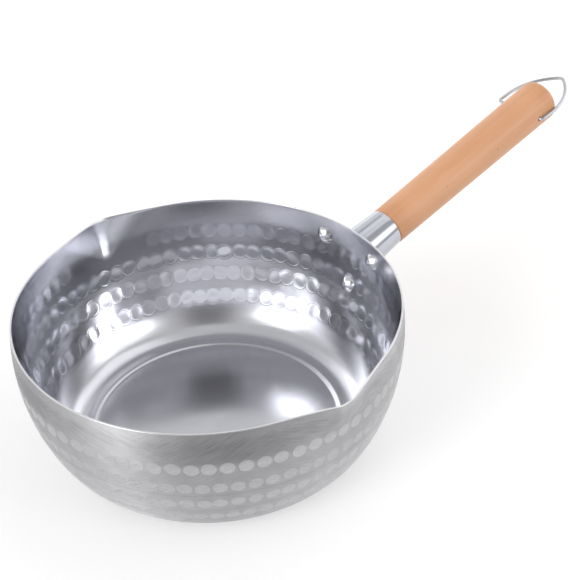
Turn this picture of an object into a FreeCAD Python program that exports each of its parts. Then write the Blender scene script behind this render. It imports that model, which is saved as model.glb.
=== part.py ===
import FreeCAD, Part
import math
import os
import re
import Sketcher

# Hammered steel milk pan: pressed bowl with two pour lips, riveted bracket, ferrule, wooden handle, wire loop.
# The origin is the centre of the standing face, +Z is up and the handle points along +X.

# Driving dimensions: millimetres, and degrees where the name ends in tilt or angle
DRIVING = {
    # pressed bowl, measured on its outer skin
    "rim_radius": 101.0,
    "bowl_height": 81.2,
    "bowl_wall": 1.0,
    "belly_depth": 15.0,
    "wall_arc_radius": 113.0,
    "corner_radius": 21.0,
    "foot_inset": 1.6,
    "foot_drop": 0.8,
    # pour lips, pulled out of the rim on both sides
    "lip_reach": 5.9,
    "lip_depth": 25.0,
    "lip_tip_radius": 12.0,
    # rivets, set square to the wall
    "rivet_upper_depth": 12.6,
    "rivet_lower_depth": 37.3,
    "rivet_half_spread": 19.3,
    "rivet_head_radius": 5.1,
    "rivet_head_height": 2.8,
    "rivet_shank_radius": 2.4,
    "rivet_tail_radius": 3.6,
    "rivet_tail_height": 1.8,
    # bracket plate
    "bracket_thickness": 1.5,
    "ear_radius": 7.0,
    # ferrule; distances along the handle count from the rim radius
    "handle_depth": 19.7,
    "handle_tilt": 14.8,
    "ferrule_radius": 11.2,
    "ferrule_wall": 1.2,
    "ferrule_end": 29.6,
    "ferrule_flare": 2.0,
    "root_length": 7.0,
    # wooden handle
    "wood_start_radius": 11.4,
    "wood_end_radius": 12.6,
    "wood_length": 136.2,
    "wood_crown": 1.3,
    "wood_end_round": 5.0,
    "wood_start_round": 0.6,
    "tenon_length": 24.0,
    # screw that keeps the tenon in the ferrule
    "screw_place": 19.0,
    "screw_head_radius": 3.0,
    "screw_head_height": 1.8,
    "screw_shank_radius": 1.5,
    "screw_length": 10.0,
    "screw_point": 2.5,
    # hanging loop and its cross hole
    "loop_hole_radius": 1.4,
    "loop_hole_inset": 17.2,
    "wire_radius": 1.0,
    "loop_half_width": 17.1,
    "loop_slide": 3.1,
    "loop_end_length": 13.0,
    "loop_corner_bend": 2.2,
    "loop_leg_length": 7.7,
    "loop_arch_radius": 37.6,
    "loop_apex_bend": 6.0,
    "loop_rest_angle": -3.5,
    # clearances and the overrun of every cut
    "seat_gap": 0.1,
    "slip_gap": 0.1,
    "cut_overrun": 6.0,
}

# Share of the wall by which the inner edge of the standing disc steps in, for a slope of 45 degrees
FOOT_INNER_SHARE = math.sqrt(2.0) - 1.0
# Size of a lip's lower end as a share of its section at the rim
LIP_FOOT_SHARE = 0.08

# Places worked out from the driving dimensions, as expressions over the sheet
WALL_ACROSS = "(rim_radius - sqrt(wall_arc_radius^2 - belly_depth^2))"
WALL_UP = "(bowl_height - belly_depth)"
CORNER_UP = "(foot_drop + corner_radius)"
CORNER_ACROSS = (
    f"({WALL_ACROSS} + sqrt((wall_arc_radius - corner_radius)^2 - ({WALL_UP} - {CORNER_UP})^2))"
)
FOOT_RADIUS = f"({CORNER_ACROSS} - foot_inset)"
HANDLE_UP = "(bowl_height - handle_depth)"
BRACKET_INNER = "(wall_arc_radius + seat_gap)"
BRACKET_OUTER = f"({BRACKET_INNER} + bracket_thickness)"
BRACKET_LOW = "(bowl_height - rivet_lower_depth - 2 * ear_radius)"
WOOD_START = "(ferrule_end + seat_gap)"
WOOD_TIP = f"({WOOD_START} + wood_length)"
WOOD_SHOULDER = f"({WOOD_TIP} - wood_crown)"
TENON_RADIUS = "(ferrule_radius - ferrule_wall - slip_gap)"
PIVOT_ALONG = f"({WOOD_TIP} - loop_hole_inset)"
# Slope of the ferrule's side, and where the screw's axis, square to that side, meets its seat
FERRULE_SIDE = "sqrt(ferrule_end^2 + ferrule_flare^2)"
SLOPE_SINE = f"(ferrule_flare / {FERRULE_SIDE})"
SLOPE_COSINE = f"(ferrule_end / {FERRULE_SIDE})"
SCREW_SEAT = (
    f"((ferrule_radius + ferrule_flare * (ferrule_end - screw_place) / ferrule_end) * {SLOPE_COSINE} + seat_gap)"
)
# Lean of an axis that points out of the ferrule's underside
UNDERSIDE = "180 - handle_tilt - atan(ferrule_flare / ferrule_end) / (1 deg)"
# A rivet's flat-bottomed head meets the hollow wall at its edge
HEAD_SAG = "(rivet_head_radius^2 / (2 * (rim_radius - bowl_wall)))"


def cells(expression):
    """Returns the expression with every driving dimension's name pointed at its cell of the sheet."""
    return re.sub(
        r"[a-z_]+",
        lambda word: f"Sizes.{word.group()}" if word.group() in DRIVING else word.group(),
        expression,
    )


def size(expression):
    """Returns the present value of an expression over the sheet, as a plain number."""
    value = sheet.evalExpression(cells(expression))
    return float(getattr(value, "Value", value))


def bind(item, **expressions):
    """Binds properties of a document object to expressions over the sheet."""
    for name, expression in expressions.items():
        item.setExpression(name, cells(expression))
    return item


def place(across="0", aside="0", up="0", turn="0", lean="0"):
    """Returns the expression of a placement: a point, then a turn about Z and a lean of Z towards X."""
    return f"placement(vector({across}; {aside}; {up}); rotation({turn}; {lean}; 0))"


def handle_place(along, aside="0", below="0", turn="0", lean="90 - handle_tilt"):
    """Returns the placement of a point by the handle's axis; by default its Z axis runs along the handle."""
    across = f"rim_radius + {along} * cos(handle_tilt) + ({below}) * sin(handle_tilt)"
    up = f"{HANDLE_UP} + {along} * sin(handle_tilt) - ({below}) * cos(handle_tilt)"
    return place(across, aside, up, turn, lean)


def screw_spot(out):
    """Returns the placement of a point on the screw's axis, that far out of the handle's axis."""
    along = f"(screw_place + {out} * {SLOPE_SINE})"
    return handle_place(along, below=f"{out} * {SLOPE_COSINE}", lean=UNDERSIDE)


def spherical(radius, height):
    """Returns the expression of the sphere radius of a cap of that radius and height."""
    return f"(({radius})^2 + ({height})^2) / (2 * {height})"


# Sketches

def on_plane(body, role):
    """Adds a sketch to the body, on the origin plane with that role."""
    sketch = body.newObject("Sketcher::SketchObject", f"{body.Name}_outline")
    plane = next(feature for feature in body.Origin.OriginFeatures if feature.Role == role)
    sketch.AttachmentSupport = [(plane, "")]
    sketch.MapMode = "FlatFace"
    return sketch


def hold(sketch, kind, geometry, end, expression):
    """Fixes one coordinate of a segment's end: on the axis where it is zero, else by a bound distance."""
    if expression == "0":
        axis = -2 if kind == "DistanceX" else -1
        sketch.addConstraint(Sketcher.Constraint("PointOnObject", geometry, end, axis))
        return
    number = sketch.addConstraint(Sketcher.Constraint(kind, -1, 1, geometry, end, size(expression)))
    bind(sketch, **{f"Constraints[{number}]": expression})


def arc_between(start, stop, radius, left):
    """Returns the arc of that radius from start to stop, with its centre to the left or right of the way."""
    chord = stop - start
    across = FreeCAD.Vector(-chord.y, chord.x, 0)
    across.normalize()
    reach = math.sqrt(max(radius ** 2 - (chord.Length / 2) ** 2, 0))
    centre = (start + stop) * 0.5 + across * (reach if left else -reach)
    first, last = (start, stop) if left else (stop, start)
    angles = [math.atan2(point.y - centre.y, point.x - centre.x) for point in (first, last)]
    circle = Part.Circle(centre, FreeCAD.Vector(0, 0, 1), radius)
    return Part.ArcOfCircle(circle, *angles)


def draw_outline(sketch, corners):
    """Draws a closed outline and binds it to the sheet.

    Each corner is (across, up) or (across, up, radius, left): with a radius, the way to the next corner is
    an arc whose centre lies to the left of the way, or to its right.
    """
    points = [FreeCAD.Vector(size(corner[0]), size(corner[1]), 0) for corner in corners]
    ends = []
    for number, corner in enumerate(corners):
        start = points[number]
        stop = points[(number + 1) % len(points)]
        if len(corner) == 2:
            sketch.addGeometry(Part.LineSegment(start, stop), False)
            ends.append((1, 2))
        else:
            sketch.addGeometry(arc_between(start, stop, size(corner[2]), corner[3]), False)
            ends.append((1, 2) if corner[3] else (2, 1))
    for number, corner in enumerate(corners):
        following = (number + 1) % len(corners)
        meeting = Sketcher.Constraint("Coincident", number, ends[number][1], following, ends[following][0])
        sketch.addConstraint(meeting)
        hold(sketch, "DistanceX", number, ends[number][0], corner[0])
        hold(sketch, "DistanceY", number, ends[number][0], corner[1])
        if len(corner) > 2:
            radius = sketch.addConstraint(Sketcher.Constraint("Radius", number, size(corner[2])))
            bind(sketch, **{f"Constraints[{radius}]": corner[2]})


def turned(name, corners, placement=None):
    """Makes a body by turning an outline of (radius, height) corners about its Z axis."""
    body = doc.addObject("PartDesign::Body", name)
    sketch = on_plane(body, "XZ_Plane")
    draw_outline(sketch, corners)
    revolution = body.newObject("PartDesign::Revolution", f"{name}_turned")
    revolution.Profile = sketch
    revolution.ReferenceAxis = (sketch, ["V_Axis"])
    revolution.Angle = 360
    if placement:
        bind(body, Placement=placement)
    doc.recompute()
    return body


def round_circle(body, name, height, radius, rounding):
    """Rounds the circular edge of a turned body at that height and radius."""
    base = body.Tip
    slack = size("seat_gap") / 2
    edges = []
    for number, edge in enumerate(base.Shape.Edges, start=1):
        if edge.Degenerated or not isinstance(edge.Curve, Part.Circle):
            continue
        off_height = abs(edge.Curve.Center.z - size(height))
        off_radius = abs(edge.Curve.Radius - size(radius))
        if max(off_height, off_radius) < slack:
            edges.append(f"Edge{number}")
    fillet = body.newObject("PartDesign::Fillet", name)
    fillet.Base = (base, edges)
    bind(fillet, Radius=rounding)
    doc.recompute()


# Booleans and cutters

def joined(name, pieces):
    """Fuses several objects."""
    fuse = doc.addObject("Part::MultiFuse", name)
    fuse.Shapes = pieces
    return fuse


def cut(name, base, tool):
    """Cuts the tool out of the base."""
    result = doc.addObject("Part::Cut", name)
    result.Base = base
    result.Tool = tool
    return result


def rod(name, radius, height, placement):
    """Makes a cylinder that stands on its placement."""
    return bind(doc.addObject("Part::Cylinder", name), Radius=radius, Height=height, Placement=placement)


# Bowl

def on_wall(radius, up):
    """Returns the distance from the pan's axis of the wall arc of that radius at that height."""
    return f"({WALL_ACROSS} + sqrt(({radius})^2 - ({up} - {WALL_UP})^2))"


def bowl_form(name, inset, top):
    """Makes the solid inside the bowl's outer skin, or inside the skin that lies an inset further in."""
    wall_radius = f"(wall_arc_radius - {inset})"
    meet = f"{wall_radius} / (wall_arc_radius - corner_radius)"
    step_in = f"{FOOT_INNER_SHARE} * {inset}"
    floor = "0" if inset == "0" else inset
    rim = on_wall(wall_radius, "bowl_height")
    corners = [
        ("0", floor),
        (f"{FOOT_RADIUS} - {step_in}", floor),
        (f"{FOOT_RADIUS} + foot_drop - {step_in}", f"foot_drop + {inset}"),
        (CORNER_ACROSS, f"foot_drop + {inset}", f"corner_radius - {inset}", True),
        (
            f"{WALL_ACROSS} + {meet} * ({CORNER_ACROSS} - {WALL_ACROSS})",
            f"{WALL_UP} + {meet} * ({CORNER_UP} - {WALL_UP})",
            wall_radius,
            True,
        ),
        (rim, "bowl_height"),
    ]
    if top != "bowl_height":
        corners.append((rim, top))
    corners.append(("0", top))
    return turned(name, corners)


def lip_section(inset):
    """Returns the lip's section at the rim, pointing along +Y: two straight flanks and a round tip."""
    rim = size("rim_radius") - inset
    tip_radius = size("lip_tip_radius") - inset
    tip_centre = FreeCAD.Vector(0, size("rim_radius + lip_reach - lip_tip_radius"), 0)
    turn = math.acos((rim - tip_radius) / tip_centre.y)
    square = FreeCAD.Vector(math.sin(turn), math.cos(turn), 0)
    foot = square * rim
    shoulder = tip_centre + square * tip_radius
    crest = tip_centre + FreeCAD.Vector(0, tip_radius, 0)

    def mirrored(point):
        return FreeCAD.Vector(-point.x, point.y, 0)

    edges = [
        Part.LineSegment(foot, shoulder).toShape(),
        Part.Arc(shoulder, crest, mirrored(shoulder)).toShape(),
        Part.LineSegment(mirrored(shoulder), mirrored(foot)).toShape(),
        Part.LineSegment(mirrored(foot), foot).toShape(),
    ]
    return Part.Wire(edges)


def lip_form(name, inset, over_rim, turn):
    """Makes the solid inside a lip's skin: its section at the rim runs down to a small one on the wall."""
    inset_size = size(inset)
    section = lip_section(inset_size)
    rim = size("rim_radius") - inset_size
    wall_there = size(on_wall("wall_arc_radius", "(bowl_height - lip_depth)")) - inset_size
    low = section.copy()
    low.scale(LIP_FOOT_SHARE, FreeCAD.Vector(0, rim, 0))
    low.translate(FreeCAD.Vector(0, wall_there - rim - LIP_FOOT_SHARE * size("lip_reach"), -size("lip_depth")))
    sections = [section, low]
    if over_rim:
        above = section.copy()
        above.translate(FreeCAD.Vector(0, 0, size("cut_overrun")))
        sections.insert(0, above)
    lip = doc.addObject("Part::Feature", name)
    lip.Shape = Part.makeLoft(sections, True, True)
    return bind(lip, Placement=place(up="bowl_height", turn=turn))


def rivet_place(side, depth):
    """Returns the placement of a rivet: at the centre of the wall's arc, its Z axis square to the wall."""
    turn = f"({side} * asin(rivet_half_spread / rim_radius) / (1 deg))"
    rise = f"(asin((belly_depth - {depth}) / wall_arc_radius) / (1 deg))"
    return place(
        f"{WALL_ACROSS} * cos({turn})",
        f"{WALL_ACROSS} * sin({turn})",
        WALL_UP,
        turn,
        f"90 - {rise}",
    )


RIVETS = {
    "rivet_upper_left": rivet_place(1, "rivet_upper_depth"),
    "rivet_upper_right": rivet_place(-1, "rivet_upper_depth"),
    "rivet_lower": rivet_place(0, "rivet_lower_depth"),
}


def rivet_holes():
    """Makes the cutters of the three rivet holes through bowl and bracket."""
    holes = [
        rod(f"{name}_hole", "rivet_shank_radius + slip_gap", f"{BRACKET_OUTER} + cut_overrun", placement)
        for name, placement in RIVETS.items()
    ]
    return joined("rivet_holes", holes)


def pan_bowl(holes):
    """Makes the pressed bowl: the outer form with its lips, less the inner form with its lips."""
    over_rim = "(bowl_height + cut_overrun)"
    outer = [bowl_form("outer_form", "0", "bowl_height")]
    inner = [bowl_form("inner_form", "bowl_wall", over_rim)]
    for side, turn in (("left", "0"), ("right", "180")):
        outer.append(lip_form(f"outer_lip_{side}", "0", False, turn))
        inner.append(lip_form(f"inner_lip_{side}", "bowl_wall", True, turn))
    shell = cut("bowl_shell", joined("outer_skin", outer), joined("inner_skin", inner))
    return cut("pan_bowl", shell, holes)


# Bracket, ferrule and rivets

def wall_layer(name, inner, outer):
    """Makes the turned layer between two arcs that run along the wall; without an inner arc it is solid."""
    low, top = BRACKET_LOW, "bowl_height"
    corners = [(on_wall(outer, low), low, outer, True), (on_wall(outer, top), top)]
    if inner:
        corners += [(on_wall(inner, top), top, inner, False), (on_wall(inner, low), low)]
    else:
        corners += [("0", top), ("0", low)]
    return turned(name, corners)


def bracket_blank():
    """Makes the bracket's block: a triangle whose three rounded corners stand round the rivets."""
    fall = "(rivet_lower_depth - rivet_upper_depth)"
    inscribed = f"(rivet_half_spread * {fall} / (rivet_half_spread + sqrt(rivet_half_spread^2 + {fall}^2)))"
    growth = f"(({inscribed} + ear_radius) / {inscribed})"
    half_width = f"rivet_half_spread * {growth}"
    top = "bowl_height - rivet_upper_depth + ear_radius"
    low = f"bowl_height - rivet_upper_depth - {inscribed} - {growth} * ({fall} - {inscribed})"
    body = doc.addObject("PartDesign::Body", "bracket_blank")
    sketch = on_plane(body, "YZ_Plane")
    points = [
        FreeCAD.Vector(size(half_width), size(top), 0),
        FreeCAD.Vector(-size(half_width), size(top), 0),
        FreeCAD.Vector(0, size(low), 0),
    ]
    for number, point in enumerate(points):
        sketch.addGeometry(Part.LineSegment(point, points[(number + 1) % len(points)]), False)
    for number in range(len(points)):
        sketch.addConstraint(Sketcher.Constraint("Coincident", number, 2, (number + 1) % len(points), 1))
    sketch.addConstraint(Sketcher.Constraint("Symmetric", 0, 1, 0, 2, -2))
    hold(sketch, "DistanceX", 0, 1, half_width)
    hold(sketch, "DistanceY", 0, 1, top)
    hold(sketch, "DistanceX", 2, 1, "0")
    hold(sketch, "DistanceY", 2, 1, low)
    pad = body.newObject("PartDesign::Pad", "bracket_block")
    pad.Profile = sketch
    bind(pad, Length="rim_radius + root_length + cut_overrun")
    doc.recompute()
    fillet = body.newObject("PartDesign::Fillet", "bracket_ears")
    lengthways = [
        f"Edge{number}"
        for number, edge in enumerate(pad.Shape.Edges, start=1)
        if edge.BoundBox.XLength > size("rim_radius")
    ]
    fillet.Base = (pad, lengthways)
    bind(fillet, Radius="ear_radius")
    doc.recompute()
    return body


def bracket_plate(holes):
    """Makes the curved plate that lies on the outside of the wall."""
    sheet_metal = doc.addObject("Part::Common", "bracket_sheet")
    sheet_metal.Base = wall_layer("bracket_layer", BRACKET_INNER, BRACKET_OUTER)
    sheet_metal.Tool = bracket_blank()
    return cut("bracket_plate", sheet_metal, holes)


def rivet(name, placement):
    """Makes a rivet with a round head inside the bowl and a round tail on the bracket."""
    seat = f"(wall_arc_radius - bowl_wall - seat_gap - {HEAD_SAG})"
    tail_seat = f"({BRACKET_OUTER} + seat_gap)"
    corners = [
        ("0", f"{seat} - rivet_head_height", spherical("rivet_head_radius", "rivet_head_height"), True),
        ("rivet_head_radius", seat),
        ("rivet_shank_radius", seat),
        ("rivet_shank_radius", tail_seat),
        ("rivet_tail_radius", tail_seat, spherical("rivet_tail_radius", "rivet_tail_height"), True),
        ("0", f"{tail_seat} + rivet_tail_height"),
    ]
    return turned(name, corners, placement)


def ferrule_cone(name, inset, overrun):
    """Makes the ferrule's cone, inset from its outside and longer by the overrun at both ends."""
    start = f"(0 - root_length - {overrun})"
    end = f"(ferrule_end + {overrun})"
    radii = [
        f"ferrule_radius + ferrule_flare * (ferrule_end - {along}) / ferrule_end - {inset}"
        for along in (start, end)
    ]
    cone = doc.addObject("Part::Cone", name)
    return bind(cone, Radius1=radii[0], Radius2=radii[1], Height=f"{end} - {start}", Placement=handle_place(start))


def ferrule():
    """Makes the ferrule: a tube that widens to the bowl, cut to the bracket's face and drilled for the screw."""
    tube = ferrule_cone("ferrule_tube", "0", "0")
    bore = ferrule_cone("ferrule_bore", "ferrule_wall", "cut_overrun")
    seat = wall_layer("ferrule_seat", None, f"{BRACKET_OUTER} + seat_gap")
    hole = rod("ferrule_screw_hole", "screw_shank_radius + slip_gap", f"{SCREW_SEAT} + cut_overrun", screw_spot("0"))
    return cut("ferrule", tube, joined("ferrule_cutters", [bore, seat, hole]))


# Wooden handle, its screw and the hanging loop

def wooden_handle():
    """Makes the turned handle: tenon, tapered grip with a domed end, cross hole and pilot hole."""
    corners = [
        ("0", "ferrule_end - tenon_length"),
        (TENON_RADIUS, "ferrule_end - tenon_length"),
        (TENON_RADIUS, WOOD_START),
        ("wood_start_radius", WOOD_START),
        ("wood_end_radius", WOOD_SHOULDER, spherical("wood_end_radius", "wood_crown"), True),
        ("0", WOOD_TIP),
    ]
    grip = turned("handle_grip", corners)
    round_circle(grip, "handle_end_round", WOOD_SHOULDER, "wood_end_radius", "wood_end_round")
    round_circle(grip, "handle_start_round", WOOD_START, "wood_start_radius", "wood_start_round")
    bind(grip, Placement=handle_place("0"))
    hole_start = "(0 - wood_end_radius - cut_overrun)"
    cross_hole = rod(
        "loop_hole",
        "loop_hole_radius",
        f"0 - 2 * {hole_start}",
        handle_place(PIVOT_ALONG, hole_start, turn="90", lean="90"),
    )
    pilot = rod(
        "pilot_hole",
        "screw_shank_radius + slip_gap",
        "screw_length + cut_overrun",
        screw_spot(f"({SCREW_SEAT} - screw_length - slip_gap)"),
    )
    return cut("wooden_handle", grip, joined("handle_holes", [cross_hole, pilot]))


def handle_screw():
    """Makes the round-headed screw under the ferrule."""
    tip = f"{SCREW_SEAT} - screw_length"
    corners = [
        ("0", tip),
        ("screw_shank_radius", f"{tip} + screw_point"),
        ("screw_shank_radius", SCREW_SEAT),
        ("screw_head_radius", SCREW_SEAT, spherical("screw_head_radius", "screw_head_height"), True),
        ("0", f"{SCREW_SEAT} + screw_head_height"),
    ]
    return turned("handle_screw", corners, screw_spot("0"))


def loop_path():
    """Returns the wire's middle line in its own YZ plane: two inward ends, two legs and a pointed arch."""
    half = size("loop_half_width")
    bend = size("loop_corner_bend")
    leg = size("loop_leg_length")
    arch = size("loop_arch_radius")
    apex = size("loop_apex_bend")
    arch_centre = FreeCAD.Vector(0, half - arch, leg)
    apex_centre = FreeCAD.Vector(0, 0, leg + math.sqrt((arch - apex) ** 2 - (arch - half) ** 2))
    to_apex = (apex_centre - arch_centre) * (1 / (arch - apex))
    shoulder = arch_centre + to_apex * arch
    halfway = to_apex + FreeCAD.Vector(0, 1, 0)
    halfway.normalize()
    arch_middle = arch_centre + halfway * arch
    corner_centre = FreeCAD.Vector(0, half - bend, bend)
    corner_middle = corner_centre + FreeCAD.Vector(0, math.sqrt(0.5), -math.sqrt(0.5)) * bend
    tip = apex_centre + FreeCAD.Vector(0, 0, apex)
    ways = [
        (FreeCAD.Vector(0, half - size("loop_end_length"), 0), None, FreeCAD.Vector(0, half - bend, 0)),
        (FreeCAD.Vector(0, half - bend, 0), corner_middle, FreeCAD.Vector(0, half, bend)),
        (FreeCAD.Vector(0, half, bend), None, FreeCAD.Vector(0, half, leg)),
        (FreeCAD.Vector(0, half, leg), arch_middle, shoulder),
    ]

    def mirrored(point):
        return point and FreeCAD.Vector(0, -point.y, point.z)

    ways += [(shoulder, tip, mirrored(shoulder))]
    ways += [tuple(mirrored(point) for point in reversed(way)) for way in reversed(ways[:4])]
    edges = [
        (Part.Arc(start, middle, stop) if middle else Part.LineSegment(start, stop)).toShape()
        for start, middle, stop in ways
    ]
    return Part.Wire(edges)


def hanging_loop():
    """Makes the wire loop, slid to one side in its cross hole as it hangs in use."""
    path = loop_path()
    start = path.OrderedVertexes[0].Point
    section = Part.Wire([Part.makeCircle(size("wire_radius"), start, FreeCAD.Vector(0, 1, 0))])
    loop = doc.addObject("Part::Feature", "hanging_loop")
    loop.Shape = path.makePipeShell([section], True, False)
    lean = "90 - handle_tilt - loop_rest_angle"
    return bind(loop, Placement=handle_place(PIVOT_ALONG, "loop_slide", lean=lean))


# The document

doc = FreeCAD.newDocument("milk_pan")
sheet = doc.addObject("Spreadsheet::Sheet", "Sizes")
for row, (alias, value) in enumerate(DRIVING.items(), start=1):
    sheet.set(f"A{row}", alias)
    sheet.set(f"B{row}", str(value))
    sheet.setAlias(f"B{row}", alias)
doc.recompute()

shared_holes = rivet_holes()
nodes = [pan_bowl(shared_holes), bracket_plate(shared_holes), ferrule()]
nodes += [rivet(name, placement) for name, placement in RIVETS.items()]
nodes += [wooden_handle(), handle_screw(), hanging_loop()]
for node in nodes:
    node.Label = node.Name
doc.recompute()

failed = [item.Name for item in doc.Objects if "Invalid" in item.State or "Error" in item.State]
if failed:
    raise RuntimeError(f"failed objects: {failed}")
for node in nodes:
    if node.Shape.isNull() or not node.Shape.isValid() or len(node.Shape.Solids) != 1:
        raise RuntimeError(f"bad shape: {node.Label}")

os.makedirs("parts", exist_ok=True)
for node in nodes:
    node.Shape.exportStep(f"parts/{node.Label}.step")
    box = node.Shape.BoundBox
    print(f"{node.Label}: {node.Shape.Volume:.1f} mm3, X {box.XMin:.1f} to {box.XMax:.1f},"
          f" Y {box.YMin:.1f} to {box.YMax:.1f}, Z {box.ZMin:.1f} to {box.ZMax:.1f}")
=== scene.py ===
"""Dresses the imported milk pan: hammered bowl, riveted bracket, ferrule, wooden handle and wire loop."""

import logging
import math
import random
from dataclasses import dataclass, field
from enum import Enum
from typing import NamedTuple, Sequence

import bmesh
import bpy
from mathutils import Matrix, Vector


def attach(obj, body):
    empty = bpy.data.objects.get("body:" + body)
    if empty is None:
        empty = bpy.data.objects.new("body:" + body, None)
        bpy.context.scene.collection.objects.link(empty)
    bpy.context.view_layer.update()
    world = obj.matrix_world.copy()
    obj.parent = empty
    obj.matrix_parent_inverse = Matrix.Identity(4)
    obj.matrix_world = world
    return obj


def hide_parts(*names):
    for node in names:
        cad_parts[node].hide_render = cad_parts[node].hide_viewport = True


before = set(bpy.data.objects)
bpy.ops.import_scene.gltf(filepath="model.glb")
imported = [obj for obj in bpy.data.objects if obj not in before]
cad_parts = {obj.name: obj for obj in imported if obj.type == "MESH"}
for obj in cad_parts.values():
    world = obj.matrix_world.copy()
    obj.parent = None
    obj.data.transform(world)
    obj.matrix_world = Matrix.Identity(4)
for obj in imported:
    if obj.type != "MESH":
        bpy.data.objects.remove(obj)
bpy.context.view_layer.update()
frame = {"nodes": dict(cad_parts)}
LOG = logging.getLogger("milk_pan")
MM = 0.001
PICTURE = 580
WHITE = (1.0, 1.0, 1.0, 1.0)
BLACK = (0.0, 0.0, 0.0, 1.0)
UNSCALED = (1.0, 1.0, 1.0)

BMesh = bmesh.types.BMesh
Material = bpy.types.Material
Node = bpy.types.Node
Piece = bpy.types.Object
Socket = bpy.types.NodeSocket
Triple = tuple[float, float, float]


class Body(Enum):
    """The moving bodies that the pieces ride on."""

    PAN = "pan"
    LOOP = "loop"


class Slot(Enum):
    """The record's material slots."""

    BOWL = "bowl_steel"
    BRACKET = "bracket_steel"
    FERRULE = "ferrule_steel"
    RIVET = "rivet_steel"
    WOOD = "handle_wood"
    SCREW = "screw_steel"
    WIRE = "loop_wire"


class Side(Enum):
    """The two sides of the plane through the handle."""

    LEFT = 1
    RIGHT = -1


class Skin(Enum):
    """The bowl's surfaces, numbered as its materials."""

    OUTSIDE = 0
    INSIDE = 1
    RIM = 2


class Ramp(NamedTuple):
    """A smooth change: where a value's range begins and ends, and the results there."""

    low: float
    high: float
    start: float = 0.0
    stop: float = 1.0


@dataclass(frozen=True)
class HandleFrame:
    """Where the handle's axis runs."""

    rim_radius: float = 101.0 * MM
    up: float = 61.5 * MM
    tilt: float = 14.8

    def start(self) -> Triple:
        """Returns the point on the axis at the rim's radius."""
        return self.rim_radius, 0.0, self.up

    def turn_back(self) -> Triple:
        """Returns the turn in radians that stands the handle up along Z."""
        return 0.0, -math.radians(90.0 - self.tilt), 0.0

    def matrix(self, along: float = 0.0) -> Matrix:
        """Returns the matrix that lays Z along the handle, from a point at that distance on it."""
        turned = Matrix.Rotation(math.radians(90.0 - self.tilt), 4, "Y")
        return Matrix.Translation(self.start()) @ turned @ Matrix.Translation((0.0, 0.0, along))


class Wiring:
    """Adds nodes to a node tree and links them."""

    def __init__(self, tree: bpy.types.NodeTree) -> None:
        """Keeps the tree.

        Args:
            tree: The material's, world's or group's node tree.
        """
        self.tree = tree

    def node(self, kind: str, **settings: object) -> Node:
        """Adds a node.

        Args:
            kind: The node's type name.
            **settings: Attributes of the node, by name.

        Returns:
            The new node.
        """
        made = self.tree.nodes.new(kind)
        for name, value in settings.items():
            setattr(made, name, value)
        return made

    def feed(self, node: Node, **inputs: object) -> Node:
        """Sets or links inputs of a node.

        Args:
            node: The node that takes the inputs.
            **inputs: A value or an output socket for each input; an underscore stands for a space.

        Returns:
            The same node.
        """
        for name, value in inputs.items():
            self.put(node.inputs[name.replace("_", " ")], value)
        return node

    def put(self, socket: Socket, value: object) -> None:
        """Links an output to a socket, or sets the socket's own value.

        Args:
            socket: The socket that takes the value.
            value: A value or an output socket.
        """
        if isinstance(value, Socket):
            self.tree.links.new(value, socket)
        else:
            socket.default_value = value

    def math(self, operation: str, *operands: object, clamp: bool = False) -> Socket:
        """Adds a Math node.

        Args:
            operation: The operation's name.
            *operands: Numbers or output sockets.
            clamp: Whether the result stays between 0 and 1.

        Returns:
            The result's socket.
        """
        made = self.node("ShaderNodeMath", operation=operation, use_clamp=clamp)
        for socket, value in zip(made.inputs, operands):
            self.put(socket, value)
        return made.outputs[0]

    def ramp(self, value: object, low: float, high: float, start: object = 0.0, stop: object = 1.0) -> Socket:
        """Maps a value smoothly from one range to another.

        Args:
            value: The value's socket.
            low: Where the range begins.
            high: Where the range ends.
            start: The result at the beginning.
            stop: The result at the end.

        Returns:
            The result's socket.
        """
        made = self.node("ShaderNodeMapRange", interpolation_type="SMOOTHSTEP")
        for socket, number in zip(made.inputs, (value, low, high, start, stop)):
            self.put(socket, number)
        return made.outputs["Result"]

    def blend(self, factor: object, first: object, second: object) -> Socket:
        """Mixes two colours.

        Args:
            factor: How much of the second colour shows.
            first: A colour or its socket.
            second: A colour or its socket.

        Returns:
            The mixed colour's socket.
        """
        made = self.node("ShaderNodeMix", data_type="RGBA")
        self.put(made.inputs["Factor"], factor)
        for name, value in (("A", first), ("B", second)):
            socket = next(item for item in made.inputs if item.name == name and item.type == "RGBA")
            self.put(socket, value)
        return next(item for item in made.outputs if item.type == "RGBA")

    def noise(self, vector: object, scale: object, detail: float = 2.0, roughness: float = 0.5) -> Socket:
        """Adds a Noise texture.

        Args:
            vector: The coordinates' socket.
            scale: Its scale, or the scale's socket.
            detail: Its octaves.
            roughness: How strong the finer octaves are.

        Returns:
            The noise value's socket.
        """
        made = self.node("ShaderNodeTexNoise")
        self.feed(made, Vector=vector, Scale=scale, Detail=detail, Roughness=roughness)
        return made.outputs["Fac"]

    def mapped(self, vector: object, scale: Triple, turn: Triple = (0.0, 0.0, 0.0)) -> Socket:
        """Adds a Mapping node.

        Args:
            vector: The coordinates' socket.
            scale: The scale along each axis.
            turn: The turn about each axis, in radians.

        Returns:
            The mapped coordinates' socket.
        """
        made = self.node("ShaderNodeMapping")
        self.feed(made, Vector=vector, Rotation=turn, Scale=scale)
        return made.outputs["Vector"]


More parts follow.
